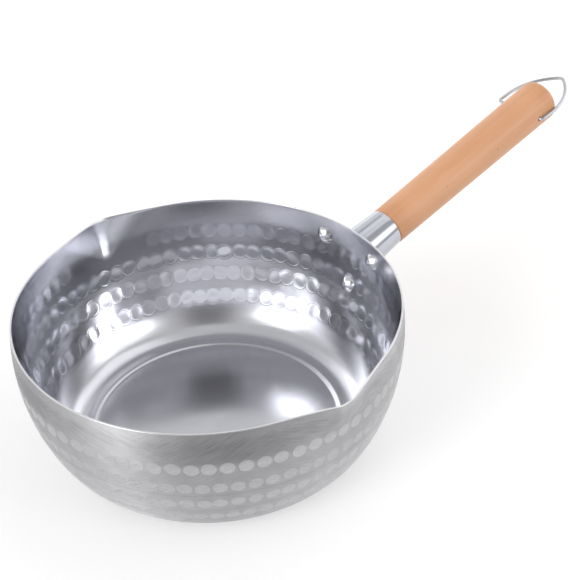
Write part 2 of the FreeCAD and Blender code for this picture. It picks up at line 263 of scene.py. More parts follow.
class Grain:
    """Shader node groups that several finishes share."""

    SMUDGE = Ramp(0.3, 0.7)

    @staticmethod
    def group(name: str, inputs: Sequence[tuple[str, str, object]],
              outputs: Sequence[str]) -> tuple[bpy.types.NodeTree, Wiring, Node, Node]:
        """Starts a shader node group.

        Args:
            name: The group's name.
            inputs: Name, socket type and default of each input.
            outputs: Names of the value outputs.

        Returns:
            The group, its wiring, its input node and its output node.
        """
        made = bpy.data.node_groups.new(name, "ShaderNodeTree")
        for socket_name, kind, default in inputs:
            socket = made.interface.new_socket(socket_name, in_out="INPUT", socket_type=kind)
            if default is not None:
                socket.default_value = default
        for socket_name in outputs:
            made.interface.new_socket(socket_name, in_out="OUTPUT", socket_type="NodeSocketFloat")
        wiring = Wiring(made)
        return made, wiring, wiring.node("NodeGroupInput"), wiring.node("NodeGroupOutput")

    @classmethod
    def brushing(cls) -> bpy.types.NodeTree:
        """Makes the group of fine parallel scratches on a plane of U and V in metres.

        Returns:
            The group, with the outputs Height and Broad.
        """
        inputs = (
            ("Vector", "NodeSocketVector", None),
            ("Turn", "NodeSocketFloat", 0.0),
            ("Along", "NodeSocketFloat", 60.0),
            ("Across", "NodeSocketFloat", 2600.0),
        )
        made, wiring, taken, given = cls.group("brushing", inputs, ("Height", "Broad"))
        turned = wiring.node("ShaderNodeVectorRotate", rotation_type="Z_AXIS")
        wiring.feed(turned, Vector=taken.outputs["Vector"], Angle=taken.outputs["Turn"])
        scale = wiring.node("ShaderNodeCombineXYZ")
        wiring.feed(scale, X=taken.outputs["Along"], Y=taken.outputs["Across"], Z=1.0)
        stretched = wiring.node("ShaderNodeVectorMath", operation="MULTIPLY")
        wiring.put(stretched.inputs[0], turned.outputs["Vector"])
        wiring.put(stretched.inputs[1], scale.outputs["Vector"])
        fine = wiring.noise(stretched.outputs["Vector"], scale=1.0, detail=3.0, roughness=0.6)
        broad = wiring.noise(stretched.outputs["Vector"], scale=0.31, detail=2.0, roughness=0.5)
        wiring.put(given.inputs["Height"], fine)
        wiring.put(given.inputs["Broad"], broad)
        return made

    @classmethod
    def handling(cls) -> bpy.types.NodeTree:
        """Makes the group of soft smudges and wear that a used surface shows.

        Returns:
            The group, with the output Smudge.
        """
        inputs = (("Vector", "NodeSocketVector", None), ("Scale", "NodeSocketFloat", 40.0))
        made, wiring, taken, given = cls.group("handling", inputs, ("Smudge",))
        patches = wiring.noise(taken.outputs["Vector"], taken.outputs["Scale"], detail=4.0)
        wiring.put(given.inputs["Smudge"], wiring.ramp(patches, *cls.SMUDGE))
        return made


BRUSHING = Grain.brushing()
HANDLING = Grain.handling()


@dataclass(frozen=True)
class Finish:
    """What every finish has: a name, a colour and a base roughness."""

    name: str
    colour: Triple
    roughness: float

    def begin(self) -> tuple[Material, Wiring, Node]:
        """Starts the material.

        Returns:
            The material, its wiring and its Principled shader.
        """
        material = bpy.data.materials.new(self.name)
        material.use_nodes = True
        wiring = Wiring(material.node_tree)
        shader = material.node_tree.nodes["Principled BSDF"]
        return material, wiring, shader

    def shaded(self, wiring: Wiring, amount: object, darker: float) -> Socket:
        """Returns the colour's socket, darkened by a share where the amount is high."""
        low = tuple(channel * darker for channel in self.colour)
        return wiring.blend(amount, (*self.colour, 1.0), (*low, 1.0))

    def smudges(self, wiring: Wiring, vector: object, scale: float) -> Socket:
        """Places the group of handling marks.

        Args:
            wiring: The material's wiring.
            vector: The coordinates' socket.
            scale: The marks' scale.

        Returns:
            The marks' mask.
        """
        marks = wiring.node("ShaderNodeGroup", node_tree=HANDLING)
        wiring.feed(marks, Vector=vector, Scale=scale)
        return marks.outputs["Smudge"]

    def scratches(self, wiring: Wiring, vector: object, turn: float, along: float, across: float) -> Node:
        """Returns the brushing group's node for scratches at that turn and spacing."""
        lines = wiring.node("ShaderNodeGroup", node_tree=BRUSHING)
        return wiring.feed(lines, Vector=vector, Turn=turn, Along=along, Across=across)

    def bowl_plan(self, wiring: Wiring) -> tuple[Socket, Socket]:
        """Returns the bowl's plan and the depth below the rim that is read from it."""
        plan = wiring.node("ShaderNodeUVMap", uv_map=Bowl.PLAN).outputs["UV"]
        return plan, wiring.feed(wiring.node("ShaderNodeSeparateXYZ"), Vector=plan).outputs["Y"]

    def object_place(self, wiring: Wiring) -> Socket:
        """Returns the Object coordinates."""
        return wiring.node("ShaderNodeTexCoord").outputs["Object"]

    def bump(self, wiring: Wiring, shader: Node, height: object, distance: float, strength: float,
             under: Node | None = None) -> Node:
        """Adds a Bump node that feeds the shader's normal.

        Args:
            wiring: The material's wiring.
            shader: The Principled shader.
            height: The height's socket.
            distance: The height of the relief in metres.
            strength: How strongly it shows.
            under: A Bump node whose relief lies under this one.

        Returns:
            The Bump node.
        """
        relief = wiring.node("ShaderNodeBump")
        wiring.feed(relief, Height=height, Distance=distance, Strength=strength)
        if under:
            wiring.feed(relief, Normal=under.outputs["Normal"])
        wiring.feed(shader, Normal=relief.outputs["Normal"])
        return relief


@dataclass(frozen=True)
class PlainSteel(Finish):
    """Steel with fine lengthwise scratches and a few smudges."""

    turn: Triple = (0.0, 0.0, 0.0)
    across: float = 2400.0
    along: float = 40.0
    relief: float = 0.15
    relief_height: float = 0.02 * MM
    uneven: float = 0.10
    smudge_scale: float = 55.0
    smudge_tone: float = 0.93
    smudge_roughness: float = 0.04

    def material(self) -> Material:
        """Makes the material.

        Returns:
            The material.
        """
        material, wiring, shader = self.begin()
        place = self.object_place(wiring)
        laid = wiring.mapped(place, UNSCALED, self.turn)
        lines = self.scratches(wiring, laid, 0.0, self.along, self.across)
        smudge = self.smudges(wiring, place, self.smudge_scale)
        wiring.feed(shader, Metallic=1.0, Base_Color=self.shaded(wiring, smudge, self.smudge_tone))
        smoothest = self.roughness - self.uneven / 2
        spread = wiring.math("MULTIPLY_ADD", lines.outputs["Broad"], self.uneven, smoothest)
        worn = wiring.math("MULTIPLY_ADD", smudge, self.smudge_roughness, spread)
        wiring.feed(shader, Roughness=worn)
        self.bump(wiring, shader, lines.outputs["Height"], self.relief_height, self.relief)
        return material


@dataclass(frozen=True)
class HammeredSteel(Finish):
    """The bowl's outside: ground in straight strokes; painted light makes it palest at the rim, and a painted
    highlight brightens the hammer marks.
    """

    mark_roughness: float = 0.3
    mark_calm: float = 0.35
    mark_edge: float = 0.06 * MM
    # Painted highlight: the hammer marks are lighter than the wall round them, most in the first row.
    mark_glint: Ramp = Ramp(25.0 * MM, 30.0 * MM, 0.15, 0.075)
    unmarked_tone: float = 0.95
    # Painted shade: thin dark lines at these depths, in the gaps between the rows of hammer marks.
    painted_shade_lines: tuple[float, ...] = (40.6 * MM, 54.4 * MM)
    painted_shade_line_tone: Ramp = Ramp(0.2 * MM, 0.7 * MM, 0.88, 1.0)
    stroke_turns: tuple[float, float] = (0.55, -0.3)
    stroke_along: float = 80.0
    stroke_across: float = 2000.0
    stroke_height: float = 0.03 * MM
    stroke_relief: float = 0.35
    stroke_roughness: float = 0.16
    stroke_ends: tuple[float, float] = (0.32, 0.68)
    stroke_dark: Ramp = Ramp(14.0 * MM, 20.0 * MM, 0.75, 0.93)
    stroke_light: float = 1.10
    patch_scale: float = 16.0
    patch_edge: Ramp = Ramp(0.42, 0.58)
    cloud_scale: float = 110.0
    cloud_tone: Ramp = Ramp(0.3, 0.7, 0.965, 1.035)
    # Painted light: tones by depth, palest at the rim, darkest some 20 mm below it and lighter towards the
    # foot.
    painted_light_by_depth: tuple[Ramp, ...] = (
        Ramp(16.0 * MM, 66.0 * MM, 0.80, 0.97),
        Ramp(15.0 * MM, 18.5 * MM, 1.15, 1.0),
        Ramp(2.0 * MM, 8.0 * MM, 1.22, 1.0),
    )
    depth_roughness: Ramp = Ramp(14.0 * MM, 22.0 * MM, 0.04, -0.17)
    anisotropy: float = 0.92
    anisotropy_turn: float = 0.25

    def material(self) -> Material:
        """Makes the material.

        Returns:
            The material.
        """
        material, wiring, shader = self.begin()
        plan, depth = self.bowl_plan(wiring)
        height = self.grinding(wiring, plan)
        edge, inside = Bowl.mark_masks(wiring)
        tone = self.tone(wiring, plan, depth, height, inside)
        wiring.feed(shader, Metallic=1.0, Base_Color=wiring.blend(tone, BLACK, (*self.colour, 1.0)))
        deeper = wiring.ramp(depth, *self.depth_roughness)
        ground = wiring.math("MULTIPLY_ADD", height, self.stroke_roughness, deeper)
        pressed = wiring.math("MULTIPLY_ADD", inside, self.mark_roughness - self.roughness, ground)
        wiring.feed(shader, Roughness=wiring.math("ADD", pressed, self.roughness))
        calm = wiring.math("MULTIPLY_ADD", inside, -self.mark_calm, 1.0)
        strokes = wiring.math("MULTIPLY", height, calm)
        lower = self.bump(wiring, shader, strokes, self.stroke_height, self.stroke_relief)
        self.bump(wiring, shader, edge, self.mark_edge, 1.0, lower)
        shader.inputs["Anisotropic"].default_value = self.anisotropy
        shader.inputs["Anisotropic Rotation"].default_value = self.anisotropy_turn
        around = wiring.node("ShaderNodeTangent", direction_type="RADIAL", axis="Z")
        wiring.feed(shader, Tangent=around.outputs["Tangent"])
        return material

    def grinding(self, wiring: Wiring, plan: object) -> Socket:
        """Lays two families of straight grinding strokes, rising in some patches and falling in others.

        Args:
            wiring: The material's wiring.
            plan: The bowl's plan.

        Returns:
            The lines' height.
        """
        mixed = wiring.node("ShaderNodeMix", data_type="FLOAT")
        patches = wiring.noise(plan, self.patch_scale, detail=1.0)
        wiring.put(mixed.inputs["Factor"], wiring.ramp(patches, *self.patch_edge))
        for name, turn in zip(("A", "B"), self.stroke_turns):
            lines = self.scratches(wiring, plan, turn, self.stroke_along, self.stroke_across)
            wiring.put(mixed.inputs[name], lines.outputs["Height"])
        return mixed.outputs["Result"]

    def tone(self, wiring: Wiring, plan: object, depth: object, height: object, inside: object) -> Socket:
        """Works out how much of the full colour shows: painted light by depth, a painted highlight in the
        hammer marks, random clouds, the strokes and painted shade lines between rows.

        Args:
            wiring: The material's wiring.
            plan: The bowl's plan.
            depth: The depth below the rim.
            height: The grinding lines' height.
            inside: The mask of the hammer marks.

        Returns:
            The share's socket.
        """
        # Painted light: the tone rises and falls with depth as reflected light would.
        shares = [wiring.ramp(depth, *tone) for tone in self.painted_light_by_depth]
        # Painted highlight in the hammer marks.
        glint = wiring.ramp(depth, *self.mark_glint)
        shares.append(wiring.math("MULTIPLY_ADD", inside, glint, self.unmarked_tone))
        clouds = wiring.noise(plan, self.cloud_scale, detail=1.0)
        shares.append(wiring.ramp(clouds, *self.cloud_tone))
        dark = wiring.ramp(depth, *self.stroke_dark)
        shares.append(wiring.ramp(height, *self.stroke_ends, dark, self.stroke_light))
        # Painted shade: a thin dark line at each of these depths.
        for shade_line_depth in self.painted_shade_lines:
            aside = wiring.math("ABSOLUTE", wiring.math("SUBTRACT", depth, shade_line_depth))
            shares.append(wiring.ramp(aside, *self.painted_shade_line_tone))
        whole = shares[0]
        for share in shares[1:]:
            whole = wiring.math("MULTIPLY", whole, share)
        return whole


@dataclass(frozen=True)
class PolishedSteel(Finish):
    """The bowl's inside: satin under the rim, polished wall, softly brushed corner and floor; painted shade
    darkens the floor and the gaps between hammer marks, and smudges darken it too.
    """

    band_roughness: float = 0.24
    band_end: tuple[float, float] = (10.0 * MM, 21.0 * MM)
    corner_roughness: float = 0.22
    corner_start: tuple[float, float] = (62.0 * MM, 70.0 * MM)
    floor_roughness: float = 0.14
    floor_start: Ramp = Ramp(77.5 * MM, 79.5 * MM)
    marks_start: Ramp = Ramp(14.0 * MM, 18.0 * MM)
    marks_end: Ramp = Ramp(64.0 * MM, 68.0 * MM, 1.0, 0.0)
    mark_edge: float = 0.022 * MM
    # How far painted shade and smudges darken the colour.
    shade_and_smudge_tone: float = 0.7
    # Painted shade: the inner floor's colour is darkened.
    floor_painted_shade: float = 0.85
    # Painted shade: the colour is darkened in the valleys between the hammer marks.
    gap_painted_shade: float = 0.6
    smudge_dull: float = 0.25
    smudge_scale: float = 26.0
    smudge_roughness: float = 0.03
    uneven: float = 0.05
    line_along: float = 25.0
    line_across: float = 2200.0
    line_height: float = 0.01 * MM
    line_relief: float = 0.12

    def material(self) -> Material:
        """Makes the material.

        Returns:
            The material.
        """
        material, wiring, shader = self.begin()
        plan, depth = self.bowl_plan(wiring)
        floor = wiring.ramp(depth, *self.floor_start)
        smudge = self.smudges(wiring, self.object_place(wiring), self.smudge_scale)
        edge, disc = Bowl.mark_masks(wiring)
        lines = self.scratches(wiring, plan, 0.0, self.line_along, self.line_across)
        hammered = wiring.ramp(depth, *self.marks_start)
        hammered = wiring.math("MULTIPLY", hammered, wiring.ramp(depth, *self.marks_end))
        between = wiring.math("MULTIPLY", hammered, wiring.math("SUBTRACT", 1.0, disc))
        # Painted shade on the floor and between the hammer marks, with the smudges, darkens the colour.
        shade_and_smudge = wiring.math("MULTIPLY", floor, self.floor_painted_shade)
        shade_and_smudge = wiring.math("MULTIPLY_ADD", smudge, self.smudge_dull, shade_and_smudge)
        shade_and_smudge = wiring.math("MULTIPLY_ADD", between, self.gap_painted_shade, shade_and_smudge, clamp=True)
        wiring.feed(shader, Metallic=1.0, Base_Color=self.shaded(wiring, shade_and_smudge, self.shade_and_smudge_tone))
        band = wiring.ramp(depth, *self.band_end, self.band_roughness, self.roughness)
        corner = wiring.ramp(depth, *self.corner_start, 0.0, self.corner_roughness - self.roughness)
        low = wiring.math("MULTIPLY_ADD", floor, self.floor_roughness - self.corner_roughness, corner)
        rough = wiring.math("SUBTRACT", wiring.math("ADD", band, low), self.uneven / 2)
        rough = wiring.math("MULTIPLY_ADD", lines.outputs["Broad"], self.uneven, rough)
        rough = wiring.math("MULTIPLY_ADD", smudge, self.smudge_roughness, rough)
        wiring.feed(shader, Roughness=rough)
        lower = self.bump(wiring, shader, lines.outputs["Height"], self.line_height, self.line_relief)
        self.bump(wiring, shader, edge, self.mark_edge, 1.0, lower)
        return material


class Figure(NamedTuple):
    """One layer of the wood's figure: its scale across and along the grain, its octaves, their strength."""

    across: float
    along: float
    detail: float
    roughness: float = 0.5

    def noise(self, wiring: Wiring, place: object) -> Socket:
        """Returns the layer's noise at a place whose Z runs along the grain."""
        stretched = wiring.mapped(place, (self.across, self.across, self.along))
        return wiring.noise(stretched, 1.0, self.detail, self.roughness)


@dataclass(frozen=True)
class TurnedWood(Finish):
    """Light hardwood, grain along the handle, redder at both ends, with small dark pores."""

    axis: HandleFrame = HandleFrame()
    deep: Triple = (0.60, 0.265, 0.115)
    pore: Triple = (0.16, 0.07, 0.03)
    cloud: Figure = Figure(60.0, 16.0, 3.0, 0.55)
    streak: Figure = Figure(420.0, 9.0, 3.0, 0.6)
    fibre: Figure = Figure(2600.0, 60.0, 2.0, 0.6)
    pores: Figure = Figure(900.0, 190.0, 1.0)
    cloud_tone: Ramp = Ramp(0.32, 0.68, -0.04, 0.22)
    streak_tone: Ramp = Ramp(0.35, 0.7, 0.0, 0.14)
    fibre_tone: float = 0.14
    end_tone: float = 0.45
    first_end: Ramp = Ramp(30.0 * MM, 50.0 * MM, 1.0, 0.0)
    last_end: Ramp = Ramp(146.0 * MM, 166.0 * MM)
    pore_edge: Ramp = Ramp(0.775, 0.80)
    pore_tone: float = 0.55
    streak_roughness: float = 0.12
    fibre_rise: float = 0.6
    relief_height: float = 0.03 * MM
    relief: float = 0.35
    lacquer: float = 0.18
    lacquer_roughness: float = 0.3

    def material(self) -> Material:
        """Makes the material.

        Returns:
            The material.
        """
        material, wiring, shader = self.begin()
        moved = wiring.node("ShaderNodeVectorMath", operation="SUBTRACT")
        wiring.put(moved.inputs[0], self.object_place(wiring))
        wiring.put(moved.inputs[1], self.axis.start())
        along = wiring.mapped(moved.outputs["Vector"], UNSCALED, self.axis.turn_back())
        way = wiring.feed(wiring.node("ShaderNodeSeparateXYZ"), Vector=along).outputs["Z"]
        streak = self.streak.noise(wiring, along)
        fibre = self.fibre.noise(wiring, along)
        pores = wiring.ramp(self.pores.noise(wiring, along), *self.pore_edge)
        first = wiring.ramp(way, *self.first_end)
        ends = wiring.math("ADD", first, wiring.ramp(way, *self.last_end), clamp=True)
        tone = wiring.ramp(self.cloud.noise(wiring, along), *self.cloud_tone)
        tone = wiring.math("ADD", wiring.ramp(streak, *self.streak_tone), tone)
        tone = wiring.math("MULTIPLY_ADD", fibre, self.fibre_tone, tone)
        tone = wiring.math("MULTIPLY_ADD", ends, self.end_tone, tone, clamp=True)
        body = wiring.blend(tone, (*self.colour, 1.0), (*self.deep, 1.0))
        dark = wiring.math("MULTIPLY", pores, self.pore_tone)
        wiring.feed(shader, Base_Color=wiring.blend(dark, body, (*self.pore, 1.0)))
        smoothest = self.roughness - self.streak_roughness / 2
        wiring.feed(shader, Roughness=wiring.math("MULTIPLY_ADD", streak, self.streak_roughness, smoothest))
        raised = wiring.math("SUBTRACT", wiring.math("MULTIPLY", fibre, self.fibre_rise), pores)
        self.bump(wiring, shader, raised, self.relief_height, self.relief)
        shader.inputs["Coat Weight"].default_value = self.lacquer
        shader.inputs["Coat Roughness"].default_value = self.lacquer_roughness
        return material


class Pen:
    """Draws a profile in the XZ plane of a bmesh with extrude and spin."""

    def __init__(self, bm: BMesh, across: float, up: float) -> None:
        """Sets the pen down.

        Args:
            bm: The bmesh that takes the profile.
            across: Where it starts along X.
            up: Where it starts along Z.
        """
        self.bm = bm
        self.tip = bm.verts.new((across, 0.0, up))

    def line(self, across: float, up: float, steps: int = 1) -> None:
        """Draws a straight way.

        Args:
            across: Where it ends along X.
            up: Where it ends along Z.
            steps: How many edges it has.
        """
        stride = (Vector((across, 0.0, up)) - self.tip.co) / steps
        for _ in range(steps):
            made = bmesh.ops.extrude_vert_indiv(self.bm, verts=[self.tip])
            self.tip = made["verts"][0]
            bmesh.ops.translate(self.bm, vec=stride, verts=[self.tip])

    def arc(self, across: float, up: float, degrees: float, steps: int) -> None:
        """Draws an arc about a centre.

        Args:
            across: The centre along X.
            up: The centre along Z.
            degrees: The turn from X towards Z.
            steps: How many edges it has.
        """
        made = bmesh.ops.spin(
            self.bm,
            geom=[self.tip],
            cent=(across, 0.0, up),
            axis=(0.0, -1.0, 0.0),
            angle=math.radians(degrees),
            steps=steps,
        )
        self.tip = next(item for item in made["geom_last"] if isinstance(item, bmesh.types.BMVert))


def lathe(bm: BMesh, steps: int) -> None:
    """Turns the drawn profile about Z into a closed skin.

    Args:
        bm: The bmesh that holds the profile.
        steps: How many faces go round.
    """
    bmesh.ops.spin(
        bm,
        geom=bm.verts[:] + bm.edges[:],
        cent=(0.0, 0.0, 0.0),
        axis=(0.0, 0.0, 1.0),
        angle=math.tau,
        steps=steps,
        use_merge=True,
    )
    bmesh.ops.remove_doubles(bm, verts=bm.verts[:], dist=1e-7)
    bmesh.ops.recalc_face_normals(bm, faces=bm.faces[:])


def dome_radius(across: float, rise: float) -> float:
    """Returns the radius of the ball whose cap has that radius and that height."""
    return (across ** 2 + rise ** 2) / (2.0 * rise)


def turn_between(azimuth: float, other: float) -> float:
    """Returns the turn in degrees from the other azimuth to the first one, between -180 and 180."""
    return (azimuth - other + 180.0) % 360.0 - 180.0


def add_piece(name: str, bm: BMesh, materials: Sequence[Material], body: Body, node: str,
              crease: float = 35.0) -> Piece:
    """Makes an object of a bmesh, puts it on its body and hides the CAD node that it stands for.

    Args:
        name: The piece's name.
        bm: Its bmesh, which is freed.
        materials: Its materials.
        body: The body that it rides on.
        node: The CAD node that it stands for.
        crease: Edges that turn by more than this many degrees stay sharp.

    Returns:
        The object.
    """
    mesh = bpy.data.meshes.new(name)
    bm.to_mesh(mesh)
    bm.free()
    for material in materials:
        mesh.materials.append(material)
    mesh.shade_smooth()
    mesh.set_sharp_from_angle(angle=math.radians(crease))
    piece = bpy.data.objects.new(name, mesh)
    bpy.context.scene.collection.objects.link(piece)
    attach(piece, body.value)
    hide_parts(node)
    LOG.info("%s: %d faces, rides on %s", name, len(mesh.polygons), body.value)
    return piece


def drilled(bm: BMesh, cutters: Sequence[BMesh]) -> BMesh:
    """Cuts closed shapes out of a closed shape.

    Args:
        bm: The shape, which is freed.
        cutters: The shapes to take away, which are freed.

    Returns:
        The cut shape.
    """
    objects = []
    for shape in (bm, *cutters):
        mesh = bpy.data.meshes.new("blank")
        shape.to_mesh(mesh)
        shape.free()
        blank = bpy.data.objects.new("blank", mesh)
        bpy.context.scene.collection.objects.link(blank)
        objects.append(blank)
    for cutter in objects[1:]:
        modifier = objects[0].modifiers.new("drill", "BOOLEAN")
        modifier.operation = "DIFFERENCE"
        modifier.solver = "EXACT"
        modifier.object = cutter
    graph = bpy.context.evaluated_depsgraph_get()
    result = bmesh.new()
    result.from_mesh(objects[0].evaluated_get(graph).data)
    for blank in objects:
        mesh = blank.data
        bpy.data.objects.remove(blank)
        bpy.data.meshes.remove(mesh)
    return result


@dataclass(frozen=True)
class MarkRow:
    """One row of hammer marks."""

    depth: float
    count: int
    phase: float


class Blow(NamedTuple):
    """How a skin took the hammer: the mark's radius, its depth, and its rise over a radius at a lean of 1."""

    radius: float
    dent: float
    tilt: float


@dataclass(frozen=True)
class Mark:
    """One hammer mark: its azimuth in degrees, its depth below the rim, its strength and its lean."""

    azimuth: float
    depth: float
    strength: float
    lean_aside: float
    lean_down: float

    def push(self, offset: Vector, blow: Blow) -> float:
        """Works out how far the blow pushes the wall in: a nearly flat facet that leans a little.

        Args:
            offset: The offset along the rim and down the wall, in the mark's radii.
            blow: How the skin took the hammer.

        Returns:
            The distance.
        """
        away = math.hypot(offset.x, offset.y)
        if away >= 1.0:
            return 0.0
        leaning = (self.lean_aside * offset.x + self.lean_down * offset.y) * blow.tilt
        return blow.dent * self.strength * (1.0 - away ** 2) + leaning * (1.0 - away ** 4)


@dataclass
class Hammering:
    """The hammer marks on the bowl's wall, a little uneven as hand work is."""

    rows: tuple[MarkRow, ...] = (
        MarkRow(21.2 * MM, 74, 3.12),
        MarkRow(35.0 * MM, 75, 3.9),
        MarkRow(47.8 * MM, 74, 0.4),
        MarkRow(61.0 * MM, 72, 2.2),
    )
    outer: Blow = Blow(3.75 * MM, 0.085 * MM, 0.03 * MM)
    inner: Blow = Blow(4.6 * MM, 0.115 * MM, 0.14 * MM)
    sway: float = 0.4
    drift: float = 0.3 * MM
    strengths: tuple[float, float] = (0.85, 1.15)
    seed: int = 7
    marks: list[list[Mark]] = field(default_factory=list)

    def __post_init__(self) -> None:
        """Sets out every mark."""
        source = random.Random(self.seed)
        for row in self.rows:
            pitch = 360.0 / row.count
            self.marks.append([
                Mark(
                    row.phase + number * pitch + source.uniform(-self.sway, self.sway),
                    row.depth + source.uniform(-self.drift, self.drift),
                    source.uniform(*self.strengths),
                    source.uniform(-1.0, 1.0),
                    source.uniform(-1.0, 1.0),
                )
                for number in range(row.count)
            ])

    def nearest(self, azimuth: float, depth: float, radius_there: float, slant: float) -> tuple[Vector, Mark]:
        """Finds the nearest mark.

        Args:
            azimuth: The place's azimuth in degrees.
            depth: Its depth below the rim.
            radius_there: Its distance from the pan's axis.
            slant: Way along the wall for a unit of depth.

        Returns:
            The offset from the mark's centre along the rim and down the wall, and the mark.
        """
        number = min(range(len(self.rows)), key=lambda item: abs(self.rows[item].depth - depth))
        row = self.rows[number]
        guess = round((azimuth - row.phase) / 360.0 * row.count)
        found = []
        for step in (-1, 0, 1):
            mark = self.marks[number][(guess + step) % row.count]
            along = math.radians(turn_between(azimuth, mark.azimuth)) * radius_there
            found.append((Vector((along, (depth - mark.depth) * slant)), mark))
        return min(found, key=lambda item: item[0].length)


@dataclass
class Bowl:
    """The pressed bowl with its two pour lips and its rows of hammer marks."""

    PLAN = "plan"
    MARKS = "hammer_mark"
    OFF_MARK = (3.0, 3.0)
    INSIDE_MARK = Ramp(0.95, 1.0, 1.0, 0.0)
    EDGE_RISE = Ramp(0.88, 0.97)
    EDGE_FALL = Ramp(0.98, 1.08, 1.0, 0.0)

    rim_radius: float = 101.0 * MM
    height: float = 81.2 * MM
    wall: float = 1.0 * MM
    belly_depth: float = 15.0 * MM
    arc_radius: float = 113.0 * MM
    corner_radius: float = 21.0 * MM
    foot_inset: float = 1.6 * MM
    foot_drop: float = 0.8 * MM
    floor_rings: int = 3
    step_width: float = 4.0 * MM
    step_margin: float = 0.05 * MM
    ease_reach: float = 9.0 * MM
    ease_rounds: int = 14
    rim_round: float = 0.3 * MM
    lip_reach: float = 5.9 * MM
    lip_drop: float = 0.8 * MM
    lip_depth: float = 26.0 * MM
    lip_flank: float = 37.0 * MM
    lip_channel: float = 3.9 * MM
    lip_fade: float = 1.7
    channel_narrowing: float = 0.55
    channel_hollow: float = 0.02
    lip_turns: tuple[float, float] = (87.5, -90.0)
    smooth_to: float = 26.0 * MM
    smooth_turn: float = 13.0
    marked_from: float = 60.0 * MM
    marked_to: float = 72.0 * MM
    row_half: float = 5.2 * MM
    row_edges: int = 11
    gap_edges: int = 2
    top_edges: int = 12
    block_low: float = -30.0
    block_rise: float = 24.0 * MM
    corner_lean: float = 0.4
    steps: int = 560
    hammering: Hammering = field(default_factory=Hammering)

    def __post_init__(self) -> None:
        """Works out the centres of the wall's and the corner's arcs."""
        self.wall_across = self.rim_radius - math.sqrt(self.arc_radius ** 2 - self.belly_depth ** 2)
        self.wall_up = self.height - self.belly_depth
        self.corner_up = self.foot_drop + self.corner_radius
        fall = self.wall_up - self.corner_up
        reach = self.arc_radius - self.corner_radius
        self.corner_across = self.wall_across + math.sqrt(reach ** 2 - fall ** 2)
        self.joint = math.degrees(math.asin(fall / reach))

    @classmethod
    def mark_masks(cls, wiring: Wiring) -> tuple[Socket, Socket]:
        """Reads the hammer marks off the mesh.

        Args:
            wiring: The material's wiring.

        Returns:
            The relief of the marks' edges, and the mask that is 1 inside a mark.
        """
        marks = wiring.node("ShaderNodeUVMap", uv_map=cls.MARKS)
        length = wiring.node("ShaderNodeVectorMath", operation="LENGTH")
        wiring.put(length.inputs[0], marks.outputs["UV"])
        away = length.outputs["Value"]
        inside = wiring.ramp(away, *cls.INSIDE_MARK)
        edge = wiring.math("MULTIPLY", wiring.ramp(away, *cls.EDGE_RISE), wiring.ramp(away, *cls.EDGE_FALL))
        return edge, inside

    def wall_angle(self, depth: float, inset: float) -> float:
        """Returns the angle in degrees on a skin's wall arc at that depth."""
        return math.degrees(math.asin((self.belly_depth - depth) / (self.arc_radius - inset)))

    def zones(self) -> list[tuple[float, int]]:
        """Sets out the wall from the rim down: fine where the hammer marks are.

        Returns:
            The depth at the end of each zone and the number of edges in it.
        """
        made = []
        for row in self.hammering.rows:
            made.append((row.depth - self.row_half, self.gap_edges if made else self.top_edges))
            made.append((row.depth + self.row_half, self.row_edges))
        return made

    def draw(self, bm: BMesh) -> None:
        """Draws the closed profile: up the outer skin, over the rim and down the inner skin.

        Args:
            bm: The bmesh that takes it.
        """
        foot = self.corner_across - self.foot_inset
        pen = Pen(bm, 0.0, 0.0)
        pen.line(foot, 0.0, self.floor_rings)
        pen.line(foot + self.foot_drop, self.foot_drop)
        pen.line(self.corner_across, self.foot_drop)
        pen.arc(self.corner_across, self.corner_up, 90.0 - self.joint, steps=10)
        self.draw_wall(pen, 0.0, True)
        self.draw_rim(pen)
        self.draw_wall(pen, self.wall, False)
        pen.arc(self.corner_across, self.corner_up, self.joint - 90.0, steps=14)
        self.draw_floor_step(pen, foot)
        pen.line(0.0, self.wall, self.floor_rings)
        self.ease_joint(bm)

    def draw_floor_step(self, pen: Pen, foot: float) -> None:
        """Draws the soft step down into the standing disc: two arcs that meet halfway.

        Args:
            pen: The pen, on the inner skin at the end of the corner.
            foot: The standing disc's radius.
        """
        start = min(foot + self.step_width / 2, self.corner_across - self.step_margin)
        pen.line(start, pen.tip.co.z)
        round_radius = (self.step_width ** 2 + self.foot_drop ** 2) / (4.0 * self.foot_drop)
        turn = 2.0 * math.degrees(math.atan(self.foot_drop / self.step_width))
        pen.arc(start, pen.tip.co.z - round_radius, turn, steps=3)
        pen.arc(start - self.step_width, self.wall + round_radius, -turn, steps=3)

    def ease_joint(self, bm: BMesh) -> None:
        """Smooths the profile where the wall's arc meets the corner's.

        Args:
            bm: The bmesh that holds the profile.
        """
        lean = math.radians(self.joint)
        outwards = Vector((math.cos(lean), 0.0, -math.sin(lean)))
        joint = Vector((self.wall_across, 0.0, self.wall_up)) + outwards * self.arc_radius
        near = [vertex for vertex in bm.verts if (vertex.co - joint).length < self.ease_reach]
        for _ in range(self.ease_rounds):
            bmesh.ops.smooth_vert(
                bm, verts=near, factor=0.5, use_axis_x=True, use_axis_y=False, use_axis_z=True
            )

    def draw_wall(self, pen: Pen, inset: float, upwards: bool) -> None:
        """Draws one skin's wall between the corner and the rim.

        Args:
            pen: The pen.
            inset: How far the skin lies inside the outer one.
            upwards: Whether the way goes up.
        """
        stops = [(self.wall_angle(self.rim_round, inset), 0)]
        stops += [(self.wall_angle(depth, inset), count) for depth, count in self.zones()]
        stops.append((-self.joint, self.gap_edges))
        ways = [(stops[number - 1][0], stops[number][0], stops[number][1]) for number in range(1, len(stops))]
        if upwards:
            ways = [(stop, start, count) for start, stop, count in reversed(ways)]
        for start, stop, count in ways:
            pen.arc(self.wall_across, self.wall_up, stop - start, count)

